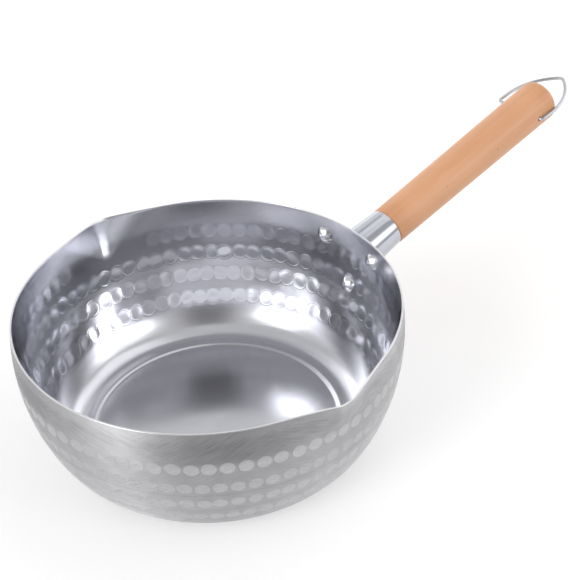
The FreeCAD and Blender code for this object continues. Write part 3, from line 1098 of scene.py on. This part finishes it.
    def draw_rim(self, pen: Pen) -> None:
        """Draws the ground rim: a flat top between two small roundings.

        Args:
            pen: The pen, at the top of the outer wall.
        """
        outer = pen.tip.co.x
        pen.arc(outer - self.rim_round, self.height - self.rim_round, 90.0, steps=3)
        inner = self.wall_across + math.sqrt(
            (self.arc_radius - self.wall) ** 2 - (self.belly_depth - self.rim_round) ** 2
        )
        pen.line(inner + self.rim_round, self.height)
        pen.arc(inner + self.rim_round, self.height - self.rim_round, 90.0, steps=3)

    def lip_shape(self, aside: float, depth: float) -> float:
        """Works out the share of the lip's reach: a narrow channel between straight flanks.

        Args:
            aside: The distance along the rim from the lip's middle.
            depth: The depth below the rim.

        Returns:
            The share, from 0 to 1.
        """
        if depth >= self.lip_depth:
            return 0.0
        fall = depth / self.lip_depth
        fade = (1.0 - fall) ** self.lip_fade
        channel = self.lip_channel * (1.0 - self.channel_narrowing * fall)
        flank = channel + (self.lip_flank - self.lip_channel) * math.sqrt(fade)
        if aside >= flank:
            return 0.0
        if aside < channel:
            return fade * (1.0 - self.channel_hollow * (aside / channel) ** 2)
        return fade * (1.0 - self.channel_hollow) * ((flank - aside) / (flank - channel)) ** 2

    def on_inner_skin(self, place: Vector) -> bool:
        """Returns whether a place on the wall is nearer to its inner skin."""
        from_arc = math.hypot(place.xy.length - self.wall_across, place.z - self.wall_up)
        return from_arc < self.arc_radius - self.wall / 2

    def mark_near(self, place: Vector) -> tuple[Vector, Mark | None, Blow]:
        """Finds the hammer mark nearest to a place on the bowl before it is pressed.

        Args:
            place: The place.

        Returns:
            The offset from the mark in its own radii along the rim and down the wall, the mark, and how the
            skin there took the hammer. Away from the wall, and inside a lip where pressing it has smoothed
            the first row, there is no mark and the offset is out of every mark.
        """
        across = place.xy.length
        depth = self.height - place.z
        inner = self.on_inner_skin(place)
        blow = self.hammering.inner if inner else self.hammering.outer
        if across < self.marked_from or depth > self.marked_to:
            return Vector(self.OFF_MARK), None, blow
        slant = 1.0 / math.sqrt(1.0 - ((place.z - self.wall_up) / self.arc_radius) ** 2)
        azimuth = math.degrees(math.atan2(place.y, place.x)) % 360.0
        offset, mark = self.hammering.nearest(azimuth, depth, across, slant)
        if inner and mark.depth < self.smooth_to and self.lip_offset(mark.azimuth) < self.smooth_turn:
            return Vector(self.OFF_MARK), None, blow
        return offset / blow.radius, mark, blow

    def lip_offset(self, azimuth: float) -> float:
        """Returns the degrees between an azimuth and the middle of the nearer lip."""
        return min(abs(turn_between(azimuth, turn)) for turn in self.lip_turns)

    def press(self, vertex: bmesh.types.BMVert) -> None:
        """Moves one vertex: in under the hammer marks and out into a lip.

        Args:
            vertex: The vertex.
        """
        depth = self.height - vertex.co.z
        if depth > self.marked_to:
            return
        offset, mark, blow = self.mark_near(vertex.co)
        azimuth = math.atan2(vertex.co.y, vertex.co.x)
        outwards = Vector((math.cos(azimuth), math.sin(azimuth), 0.0))
        rise = (vertex.co.z - self.wall_up) / self.arc_radius
        if mark:
            square = outwards * math.sqrt(1.0 - rise ** 2) + Vector((0.0, 0.0, rise))
            vertex.co -= square * mark.push(offset, blow)
        for turn in self.lip_turns:
            aside = abs(azimuth - math.radians(turn)) * self.rim_radius
            share = self.lip_shape(aside, depth)
            vertex.co += outwards * self.lip_reach * share
            vertex.co.z -= self.lip_drop * share ** 2

    def lay_plan(self, bm: BMesh) -> None:
        """Writes two maps before the bowl is pressed.

        The plan has the way round the rim and the depth below it, in metres, cut under the handle. The other
        map has the offset from the hammer mark that is nearest to the face's middle, in the mark's radii.

        Args:
            bm: The bowl's bmesh.
        """
        plan = bm.loops.layers.uv.new(self.PLAN)
        marks = bm.loops.layers.uv.new(self.MARKS)
        for face in bm.faces:
            middle = face.calc_center_median()
            home = math.atan2(middle.y, middle.x) % math.tau
            found, _, blow = self.mark_near(middle)
            for loop in face.loops:
                place = loop.vert.co
                turn = math.atan2(place.y, place.x) % math.tau
                if abs(turn - home) > math.pi:
                    turn += math.copysign(math.tau, home - turn)
                loop[plan].uv = (turn * self.rim_radius, self.height - place.z)
                aside = (turn - home) * middle.xy.length / blow.radius
                slope = math.hypot(place.xy.length - middle.xy.length, place.z - middle.z)
                down = math.copysign(slope, middle.z - place.z) / blow.radius
                loop[marks].uv = (found.x + aside, found.y + down)

    def wall_block(self, proud: float) -> BMesh:
        """Makes the solid of turning that fills the bowl out to a face proud of its wall.

        Args:
            proud: How far the face stands out from the wall's outside.

        Returns:
            The solid's bmesh.
        """
        bm = bmesh.new()
        radius = self.arc_radius + proud
        low = math.radians(self.block_low)
        top = math.degrees(math.asin(self.block_rise / radius))
        pen = Pen(bm, 0.0, self.wall_up + radius * math.sin(low))
        pen.line(self.wall_across + radius * math.cos(low), pen.tip.co.z)
        pen.arc(self.wall_across, self.wall_up, top - self.block_low, steps=48)
        pen.line(0.0, pen.tip.co.z)
        lathe(bm, steps=360)
        return bm

    def build(self, outside: Material, inside: Material, edge: Material) -> Piece:
        """Builds and dresses the bowl.

        Args:
            outside: The outer skin's material.
            inside: The inner skin's material.
            edge: The rim's material.

        Returns:
            The bowl's object.
        """
        bm = bmesh.new()
        self.draw(bm)
        lathe(bm, self.steps)
        for face, skin in self.skin_of_faces(bm).items():
            face.material_index = skin.value
        self.lay_plan(bm)
        for vertex in bm.verts:
            self.press(vertex)
        return add_piece("hammered_bowl", bm, (outside, inside, edge), Body.PAN, "pan_bowl")

    def skin_of_faces(self, bm: BMesh) -> dict[bmesh.types.BMFace, Skin]:
        """Sorts the faces before the wall is pressed.

        Args:
            bm: The turned bowl.

        Returns:
            The skin that each face belongs to.
        """
        sorted_faces = {}
        for face in bm.faces:
            middle = face.calc_center_median()
            if middle.z > self.height - self.rim_round:
                sorted_faces[face] = Skin.RIM
                continue
            inner = self.on_inner_skin(middle)
            if middle.z <= self.corner_up:
                outwards = Vector((middle.x, middle.y, 0.0)).normalized()
                inner = face.normal.dot(Vector((0.0, 0.0, 1.0)) - outwards * self.corner_lean) > 0.0
            sorted_faces[face] = Skin.INSIDE if inner else Skin.OUTSIDE
        return sorted_faces


@dataclass
class Grip:
    """The wooden handle, its ferrule and the screw under it."""

    frame: HandleFrame = field(default_factory=HandleFrame)
    ferrule_radius: float = 11.2 * MM
    ferrule_flare: float = 2.0 * MM
    ferrule_wall: float = 1.2 * MM
    ferrule_end: float = 29.6 * MM
    ferrule_start: float = -7.0 * MM
    ferrule_lip: float = 0.4 * MM
    seat_gap: float = 0.1 * MM
    tenon_radius: float = 9.9 * MM
    tenon_length: float = 24.0 * MM
    tenon_edge: float = 0.5 * MM
    start_radius: float = 11.4 * MM
    end_radius: float = 12.6 * MM
    length: float = 136.2 * MM
    crown: float = 1.3 * MM
    end_round: float = 5.0 * MM
    start_round: float = 0.6 * MM
    hole_radius: float = 1.4 * MM
    hole_inset: float = 17.2 * MM
    screw_place: float = 19.0 * MM
    screw_head: float = 3.0 * MM
    screw_rise: float = 1.8 * MM
    screw_shank: float = 1.5 * MM
    screw_length: float = 10.0 * MM
    screw_point: float = 2.5 * MM
    slot_width: float = 0.8 * MM
    slot_depth: float = 0.9 * MM

    def ferrule_across(self, along: float) -> float:
        """Returns the ferrule's outer radius at that distance along the handle."""
        return self.ferrule_radius + self.ferrule_flare * (self.ferrule_end - along) / self.ferrule_end

    def build_ferrule(self, steel: Material, bowl: Bowl, plate: float) -> Piece:
        """Builds the ferrule, cut at its root to the face of the bracket.

        Args:
            steel: Its material.
            bowl: The bowl, whose wall the bracket follows.
            plate: The bracket's outer face, as a distance from the wall's outside.

        Returns:
            The ferrule's object.
        """
        bm = bmesh.new()
        root = self.ferrule_across(self.ferrule_start)
        end = self.ferrule_end - self.ferrule_lip
        mouth = self.ferrule_across(end)
        pen = Pen(bm, root, self.ferrule_start)
        pen.line(mouth, end, steps=12)
        pen.arc(mouth - self.ferrule_lip, end, 90.0, steps=5)
        pen.line(self.ferrule_radius - self.ferrule_wall, self.ferrule_end)
        pen.line(root - self.ferrule_wall, self.ferrule_start)
        pen.line(root, self.ferrule_start)
        lathe(bm, steps=96)
        bmesh.ops.transform(bm, matrix=self.frame.matrix(), verts=bm.verts[:])
        cut = drilled(bm, [bowl.wall_block(plate + self.seat_gap)])
        return add_piece("handle_ferrule", cut, (steel,), Body.PAN, "ferrule")

    def build_wood(self, wood: Material) -> Piece:
        """Builds the turned handle with its cross hole.

        Args:
            wood: Its material.

        Returns:
            The handle's object.
        """
        bm = bmesh.new()
        start = self.ferrule_end + self.seat_gap
        tip = start + self.length
        tenon = self.ferrule_end - self.tenon_length
        pen = Pen(bm, 0.0, tenon)
        pen.line(self.tenon_radius - self.tenon_edge, tenon)
        pen.line(self.tenon_radius, tenon + self.tenon_edge)
        pen.line(self.tenon_radius, start)
        pen.line(self.start_radius - self.start_round, start)
        pen.arc(self.start_radius - self.start_round, start + self.start_round, 90.0, steps=5)
        reach = self.end_radius - self.end_round
        dome = dome_radius(self.end_radius, self.crown)
        lean = math.degrees(math.asin(reach / (dome - self.end_round)))
        centre = tip - dome
        pen.line(self.end_radius, centre + (dome - self.end_round) * math.cos(math.radians(lean)), steps=40)
        pen.arc(reach, pen.tip.co.z, 90.0 - lean, steps=12)
        pen.arc(0.0, centre, lean, steps=10)
        lathe(bm, steps=128)
        hole = self.peg(self.hole_radius, 3.0 * self.end_radius)
        across = Matrix.Rotation(math.pi / 2, 3, "X")
        bmesh.ops.rotate(hole, cent=(0.0, 0.0, 0.0), matrix=across, verts=hole.verts[:])
        bmesh.ops.translate(hole, vec=(0.0, 0.0, tip - self.hole_inset), verts=hole.verts[:])
        bored = drilled(bm, [hole])
        bmesh.ops.transform(bored, matrix=self.frame.matrix(), verts=bored.verts[:])
        return add_piece("turned_handle", bored, (wood,), Body.PAN, "wooden_handle")

    def peg(self, radius: float, length: float) -> BMesh:
        """Makes a round peg along Z, for cutting a hole.

        Args:
            radius: Its radius.
            length: Its length.

        Returns:
            The peg's bmesh.
        """
        bm = bmesh.new()
        bmesh.ops.create_cone(bm, cap_ends=True, segments=32, radius1=radius, radius2=radius, depth=length)
        return bm

    def build_screw(self, steel: Material) -> Piece:
        """Builds the slotted screw under the ferrule, square to the ferrule's side.

        Args:
            steel: Its material.

        Returns:
            The screw's object.
        """
        slope = math.atan(self.ferrule_flare / self.ferrule_end)
        seat = self.ferrule_across(self.screw_place) * math.cos(slope) + self.seat_gap
        dome = dome_radius(self.screw_head, self.screw_rise)
        lean = math.degrees(math.asin(self.screw_head / dome))
        bm = bmesh.new()
        pen = Pen(bm, 0.0, seat - self.screw_length)
        pen.line(self.screw_shank, seat - self.screw_length + self.screw_point)
        pen.line(self.screw_shank, seat)
        pen.line(self.screw_head, seat)
        pen.arc(0.0, seat + self.screw_rise - dome, lean, steps=10)
        lathe(bm, steps=48)
        slot = bmesh.new()
        bmesh.ops.create_cube(slot, size=1.0)
        size = (3.0 * self.screw_head, self.slot_width, 2.0 * self.slot_depth)
        bmesh.ops.scale(slot, vec=size, verts=slot.verts[:])
        bmesh.ops.translate(slot, vec=(0.0, 0.0, seat + self.screw_rise), verts=slot.verts[:])
        cut = drilled(bm, [slot])
        below = self.frame.matrix(self.screw_place) @ Matrix.Rotation(math.pi / 2 - slope, 4, "Y")
        bmesh.ops.transform(cut, matrix=below, verts=cut.verts[:])
        return add_piece("slotted_screw", cut, (steel,), Body.PAN, "handle_screw", crease=30.0)


@dataclass
class Mounting:
    """The bracket plate and the three rivets that hold it on the wall."""

    bowl: Bowl
    seat_gap: float = 0.1 * MM
    plate: float = 1.5 * MM
    upper_depth: float = 12.6 * MM
    lower_depth: float = 37.3 * MM
    half_spread: float = 19.3 * MM
    head_radius: float = 5.1 * MM
    head_height: float = 2.8 * MM
    shank_radius: float = 2.4 * MM
    tail_radius: float = 3.6 * MM
    tail_height: float = 1.8 * MM

    def plate_face(self) -> float:
        """Returns the bracket's outer face, as a distance from the wall's outside."""
        return self.seat_gap + self.plate

    def build(self, sheet: Material, stud: Material) -> None:
        """Builds and dresses the bracket and the rivets.

        Args:
            sheet: The bracket's material.
            stud: The rivets' material.
        """
        bm = bmesh.new()
        bm.from_mesh(frame["nodes"]["bracket_plate"].data)
        bmesh.ops.remove_doubles(bm, verts=bm.verts[:], dist=1e-6)
        add_piece("bracket", bm, (sheet,), Body.PAN, "bracket_plate")
        turn = math.asin(self.half_spread / self.bowl.rim_radius)
        self.build_rivet("rivet_upper_left", Side.LEFT.value * turn, self.upper_depth, stud)
        self.build_rivet("rivet_upper_right", Side.RIGHT.value * turn, self.upper_depth, stud)
        self.build_rivet("rivet_lower", 0.0, self.lower_depth, stud)

    def build_rivet(self, node: str, turn: float, depth: float, stud: Material) -> Piece:
        """Builds one rivet: a domed head inside the bowl and a domed tail on the bracket.

        Args:
            node: The CAD node that it stands for.
            turn: Its turn about the pan's axis, in radians.
            depth: Its depth below the rim.
            stud: Its material.

        Returns:
            The rivet's object.
        """
        sag = self.head_radius ** 2 / (2.0 * (self.bowl.rim_radius - self.bowl.wall))
        seat = self.bowl.arc_radius - self.bowl.wall - self.seat_gap - sag
        tail = self.bowl.arc_radius + self.plate_face() + self.seat_gap
        bm = bmesh.new()
        pen = Pen(bm, 0.0, seat - self.head_height)
        dome = dome_radius(self.head_radius, self.head_height)
        lean = math.degrees(math.asin(self.head_radius / dome))
        pen.arc(0.0, seat - self.head_height + dome, lean, steps=12)
        pen.line(self.shank_radius, seat)
        pen.line(self.shank_radius, tail)
        pen.line(self.tail_radius, tail)
        dome = dome_radius(self.tail_radius, self.tail_height)
        lean = math.degrees(math.asin(self.tail_radius / dome))
        pen.arc(0.0, tail + self.tail_height - dome, lean, steps=8)
        lathe(bm, steps=64)
        rise = math.asin((self.bowl.belly_depth - depth) / self.bowl.arc_radius)
        centre = Matrix.Translation((self.bowl.wall_across, 0.0, self.bowl.wall_up))
        square = Matrix.Rotation(turn, 4, "Z") @ centre @ Matrix.Rotation(math.pi / 2 - rise, 4, "Y")
        bmesh.ops.transform(bm, matrix=square, verts=bm.verts[:])
        return add_piece(f"{node}_stud", bm, (stud,), Body.PAN, node, crease=40.0)


@dataclass
class WireLoop:
    """The bent wire that swings in the handle's cross hole."""

    frame: HandleFrame = field(default_factory=HandleFrame)
    pivot: float = 148.7 * MM
    wire_radius: float = 1.0 * MM
    half_width: float = 17.1 * MM
    slide: float = 3.1 * MM
    end_length: float = 13.0 * MM
    corner_bend: float = 2.2 * MM
    leg_length: float = 7.7 * MM
    arch_radius: float = 37.6 * MM
    apex_bend: float = 3.2 * MM
    rest_angle: float = -3.5
    sides: int = 20

    def build(self, wire: Material) -> Piece:
        """Builds the loop: half of it is swept along its way, then mirrored.

        Args:
            wire: Its material.

        Returns:
            The loop's object.
        """
        bm = bmesh.new()
        made = bmesh.ops.create_circle(bm, cap_ends=True, segments=self.sides, radius=self.wire_radius)
        turned = Matrix.Rotation(math.pi / 2, 3, "X")
        bmesh.ops.rotate(bm, cent=(0.0, 0.0, 0.0), matrix=turned, verts=made["verts"])
        bmesh.ops.translate(bm, vec=(0.0, self.half_width - self.end_length, 0.0), verts=made["verts"])
        edges = list({edge for vertex in made["verts"] for edge in vertex.link_edges})
        edges = self.straight(bm, edges, (0.0, self.end_length - self.corner_bend, 0.0), steps=10)
        corner = (0.0, self.half_width - self.corner_bend, self.corner_bend)
        edges = self.bent(bm, edges, corner, math.pi / 2, steps=10)
        edges = self.straight(bm, edges, (0.0, 0.0, self.leg_length - self.corner_bend), steps=4)
        offset = self.arch_radius - self.half_width
        inner = self.arch_radius - self.apex_bend
        sweep = math.acos(offset / inner)
        edges = self.bent(bm, edges, (0.0, -offset, self.leg_length), sweep, steps=24)
        apex_up = self.leg_length + inner * math.sin(sweep)
        self.bent(bm, edges, (0.0, 0.0, apex_up), math.pi / 2 - sweep, steps=10)
        whole = bm.verts[:] + bm.edges[:] + bm.faces[:]
        bmesh.ops.mirror(bm, geom=whole, matrix=Matrix.Identity(4), merge_dist=1e-6, axis="Y")
        bmesh.ops.recalc_face_normals(bm, faces=bm.faces[:])
        hung = self.frame.matrix(self.pivot) @ Matrix.Translation((0.0, self.slide, 0.0))
        hung = hung @ Matrix.Rotation(-math.radians(self.rest_angle), 4, "Y")
        bmesh.ops.transform(bm, matrix=hung, verts=bm.verts[:])
        return add_piece("wire_loop", bm, (wire,), Body.LOOP, "hanging_loop", crease=50.0)

    def straight(self, bm: BMesh, edges: list, way: Sequence[float], steps: int) -> list:
        """Sweeps the wire's ring along a straight way.

        Args:
            bm: The loop's bmesh.
            edges: The ring's edges.
            way: The way from its start to its end.
            steps: How many faces it has along it.

        Returns:
            The new ring's edges.
        """
        for _ in range(steps):
            made = bmesh.ops.extrude_edge_only(bm, edges=edges)["geom"]
            verts = [item for item in made if isinstance(item, bmesh.types.BMVert)]
            bmesh.ops.translate(bm, vec=Vector(way) / steps, verts=verts)
            edges = [item for item in made if isinstance(item, bmesh.types.BMEdge)]
        return edges

    def bent(self, bm: BMesh, edges: list, centre: Sequence[float], turn: float, steps: int) -> list:
        """Sweeps the wire's ring round a bend in the loop's plane.

        Args:
            bm: The loop's bmesh.
            edges: The ring's edges.
            centre: The bend's centre.
            turn: The bend's turn, in radians.
            steps: How many faces it has along it.

        Returns:
            The new ring's edges.
        """
        ring = list({vertex for edge in edges for vertex in edge.verts}) + edges
        made = bmesh.ops.spin(bm, geom=ring, cent=centre, axis=(1.0, 0.0, 0.0), angle=turn, steps=steps)
        return [item for item in made["geom_last"] if isinstance(item, bmesh.types.BMEdge)]


@dataclass
class Viewpoint:
    """The photograph's camera: where it stands about the rim's centre and how it is turned."""

    rim_up: float = 81.2 * MM
    distance: float = 681.75 * MM
    elevation: float = 36.104
    roll: float = 5.148
    pan: float = -0.06343
    tilt: float = -0.00412
    focal: float = 1319.72
    handle_turn: float = 35.06
    sensor: float = 36.0
    nearest: float = 0.01

    def build(self) -> Piece:
        """Makes the scene's camera.

        Returns:
            The camera.
        """
        rise = math.radians(self.elevation)
        axes = Matrix((
            (1.0, 0.0, 0.0),
            (0.0, math.sin(rise), math.cos(rise)),
            (0.0, math.cos(rise), -math.sin(rise)),
        ))
        aimed = Matrix.Rotation(-self.tilt, 3, "X") @ Matrix.Rotation(self.pan, 3, "Y")
        seen = Matrix.Rotation(math.radians(self.roll), 3, "Z") @ aimed @ axes
        stance = Matrix((seen[0], seen[1], -seen[2])).transposed().to_4x4()
        stance.translation = Vector((0.0, -math.cos(rise), math.sin(rise))) * self.distance
        turned = Matrix.Rotation(-math.radians(self.handle_turn), 4, "Z")
        camera = bpy.data.objects.new("camera", bpy.data.cameras.new("camera"))
        camera.data.sensor_width = self.sensor
        camera.data.lens = self.focal * self.sensor / PICTURE
        camera.data.clip_start = self.nearest
        camera.matrix_world = Matrix.Translation((0.0, 0.0, self.rim_up)) @ turned @ stance
        bpy.context.scene.collection.objects.link(camera)
        bpy.context.scene.camera = camera
        return camera


@dataclass(frozen=True)
class Panel:
    """A soft light panel round the pan: its directions in degrees, its soft edge and its brightness."""

    azimuth: float
    half_width: float
    low: float
    high: float
    strength: float
    soft: float = 6.0

    def edge(self, degrees: float) -> tuple[float, float]:
        """Returns where the soft edge at that angle begins and ends, in radians."""
        return math.radians(degrees - self.soft), math.radians(degrees + self.soft)

    def mask(self, wiring: Wiring, azimuth: object, elevation: object) -> Socket:
        """Returns the socket that is 1 in the panel's directions.

        Args:
            wiring: The world's wiring.
            azimuth: The direction's azimuth, in radians.
            elevation: Its elevation, in radians.

        Returns:
            The mask's socket.
        """
        turn = wiring.math("SUBTRACT", azimuth, math.radians(self.azimuth))
        turn = wiring.math("ABSOLUTE", wiring.math("WRAP", turn, math.pi, -math.pi))
        aside = wiring.ramp(turn, *self.edge(self.half_width), 1.0, 0.0)
        above = wiring.ramp(elevation, *self.edge(self.low))
        below = wiring.ramp(elevation, *self.edge(self.high), 1.0, 0.0)
        return wiring.math("MULTIPLY", aside, wiring.math("MULTIPLY", above, below))


@dataclass
class Studio:
    """Pale floor and a room of soft light panels, darker on the camera's side."""

    floor_size: float = 6.0
    floor_gap: float = 0.05 * MM
    floor_colour: tuple[float, float, float, float] = (0.8, 0.8, 0.8, 1.0)
    floor_roughness: float = 0.9
    floor_glow: float = 0.33
    room: float = 0.577
    panels: tuple[Panel, ...] = (
        Panel(182.0, 13.0, -6.0, 40.0, 4.9, 7.0),
        Panel(152.0, 16.0, 8.0, 26.0, 1.75, 9.0),
        Panel(337.0, 18.0, 6.0, 26.0, 1.57, 9.0),
        Panel(317.0, 8.0, 16.0, 36.0, 2.0, 8.0),
        Panel(291.0, 12.0, 17.0, 38.0, 3.27, 9.0),
        Panel(40.0, 70.0, -5.0, 22.0, 0.76, 8.0),
        Panel(50.0, 52.0, 26.0, 46.0, 0.45, 8.0),
        Panel(9.0, 45.0, 46.0, 74.0, 0.55, 4.0),
        Panel(235.0, 18.0, -20.0, 60.0, -0.38, 10.0),
    )

    def build(self) -> None:
        """Builds the floor and the world."""
        bpy.context.scene.view_settings.view_transform = "Standard"
        bm = bmesh.new()
        bmesh.ops.create_circle(bm, cap_ends=True, segments=96, radius=self.floor_size)
        bmesh.ops.translate(bm, vec=(0.0, 0.0, -self.floor_gap), verts=bm.verts[:])
        mesh = bpy.data.meshes.new("floor")
        bm.to_mesh(mesh)
        bm.free()
        floor = bpy.data.objects.new("floor", mesh)
        bpy.context.scene.collection.objects.link(floor)
        mesh.materials.append(self.floor_material())
        self.world()

    def floor_material(self) -> Material:
        """Makes the floor's material: white to the camera and to metal, with the pan's shadow.

        Returns:
            The material.
        """
        material = bpy.data.materials.new("white_floor")
        material.use_nodes = True
        wiring = Wiring(material.node_tree)
        shader = material.node_tree.nodes["Principled BSDF"]
        path = wiring.node("ShaderNodeLightPath")
        seen = wiring.math("ADD", path.outputs["Is Camera Ray"], path.outputs["Is Glossy Ray"])
        seen = wiring.math("ADD", seen, path.outputs["Is Transmission Ray"], clamp=True)
        wiring.feed(shader, Base_Color=self.floor_colour, Roughness=self.floor_roughness)
        glow = wiring.math("MULTIPLY", seen, self.floor_glow)
        wiring.feed(shader, Emission_Color=WHITE, Emission_Strength=glow)
        shader.inputs["Specular IOR Level"].default_value = 0.0
        return material

    def world(self) -> None:
        """Makes the world: a pale room with its panels."""
        world = bpy.data.worlds.new("studio")
        bpy.context.scene.world = world
        world.use_nodes = True
        wiring = Wiring(world.node_tree)
        background = world.node_tree.nodes["Background"]
        way = wiring.node("ShaderNodeSeparateXYZ")
        wiring.feed(way, Vector=wiring.node("ShaderNodeTexCoord").outputs["Generated"])
        azimuth = wiring.math("ARCTAN2", way.outputs["Y"], way.outputs["X"])
        elevation = wiring.math("ARCSINE", way.outputs["Z"])
        level = self.room
        for panel in self.panels:
            level = wiring.math("MULTIPLY_ADD", panel.mask(wiring, azimuth, elevation), panel.strength, level)
        wiring.feed(background, Color=WHITE, Strength=level)


def dress() -> None:
    """Builds every piece of the pan with its finish."""
    outside = HammeredSteel("bowl_outside", (0.53, 0.528, 0.543), 0.48, 0.36)
    inside = PolishedSteel("bowl_inside", (0.77, 0.775, 0.82), 0.10)
    edge = PlainSteel("ground_rim", (0.75, 0.75, 0.77), 0.22)
    bowl = Bowl()
    bowl.build(outside.material(), inside.material(), edge.material())
    mounting = Mounting(bowl)
    sheet = PlainSteel("bracket_sheet", (0.62, 0.62, 0.64), 0.3, along=60.0)
    mounting.build(sheet.material(), PlainSteel("rivet_polish", (0.84, 0.84, 0.86), 0.2).material())
    grip = Grip()
    tube = PlainSteel("ferrule_polish", (0.56, 0.575, 0.63), 0.12, HandleFrame().turn_back())
    grip.build_ferrule(tube.material(), bowl, mounting.plate_face())
    grip.build_wood(TurnedWood("turned_wood", (0.77, 0.405, 0.222), 0.46).material())
    grip.build_screw(PlainSteel("screw_steel", (0.60, 0.60, 0.62), 0.28).material())
    WireLoop().build(PlainSteel("plated_wire", (0.56, 0.57, 0.60), 0.34).material())


def main() -> None:
    """Builds the pan, the camera and the studio."""
    logging.basicConfig(level=logging.INFO, format="%(name)s %(message)s")
    dress()
    Viewpoint().build()
    Studio().build()


if __name__ == "__main__":
    main()
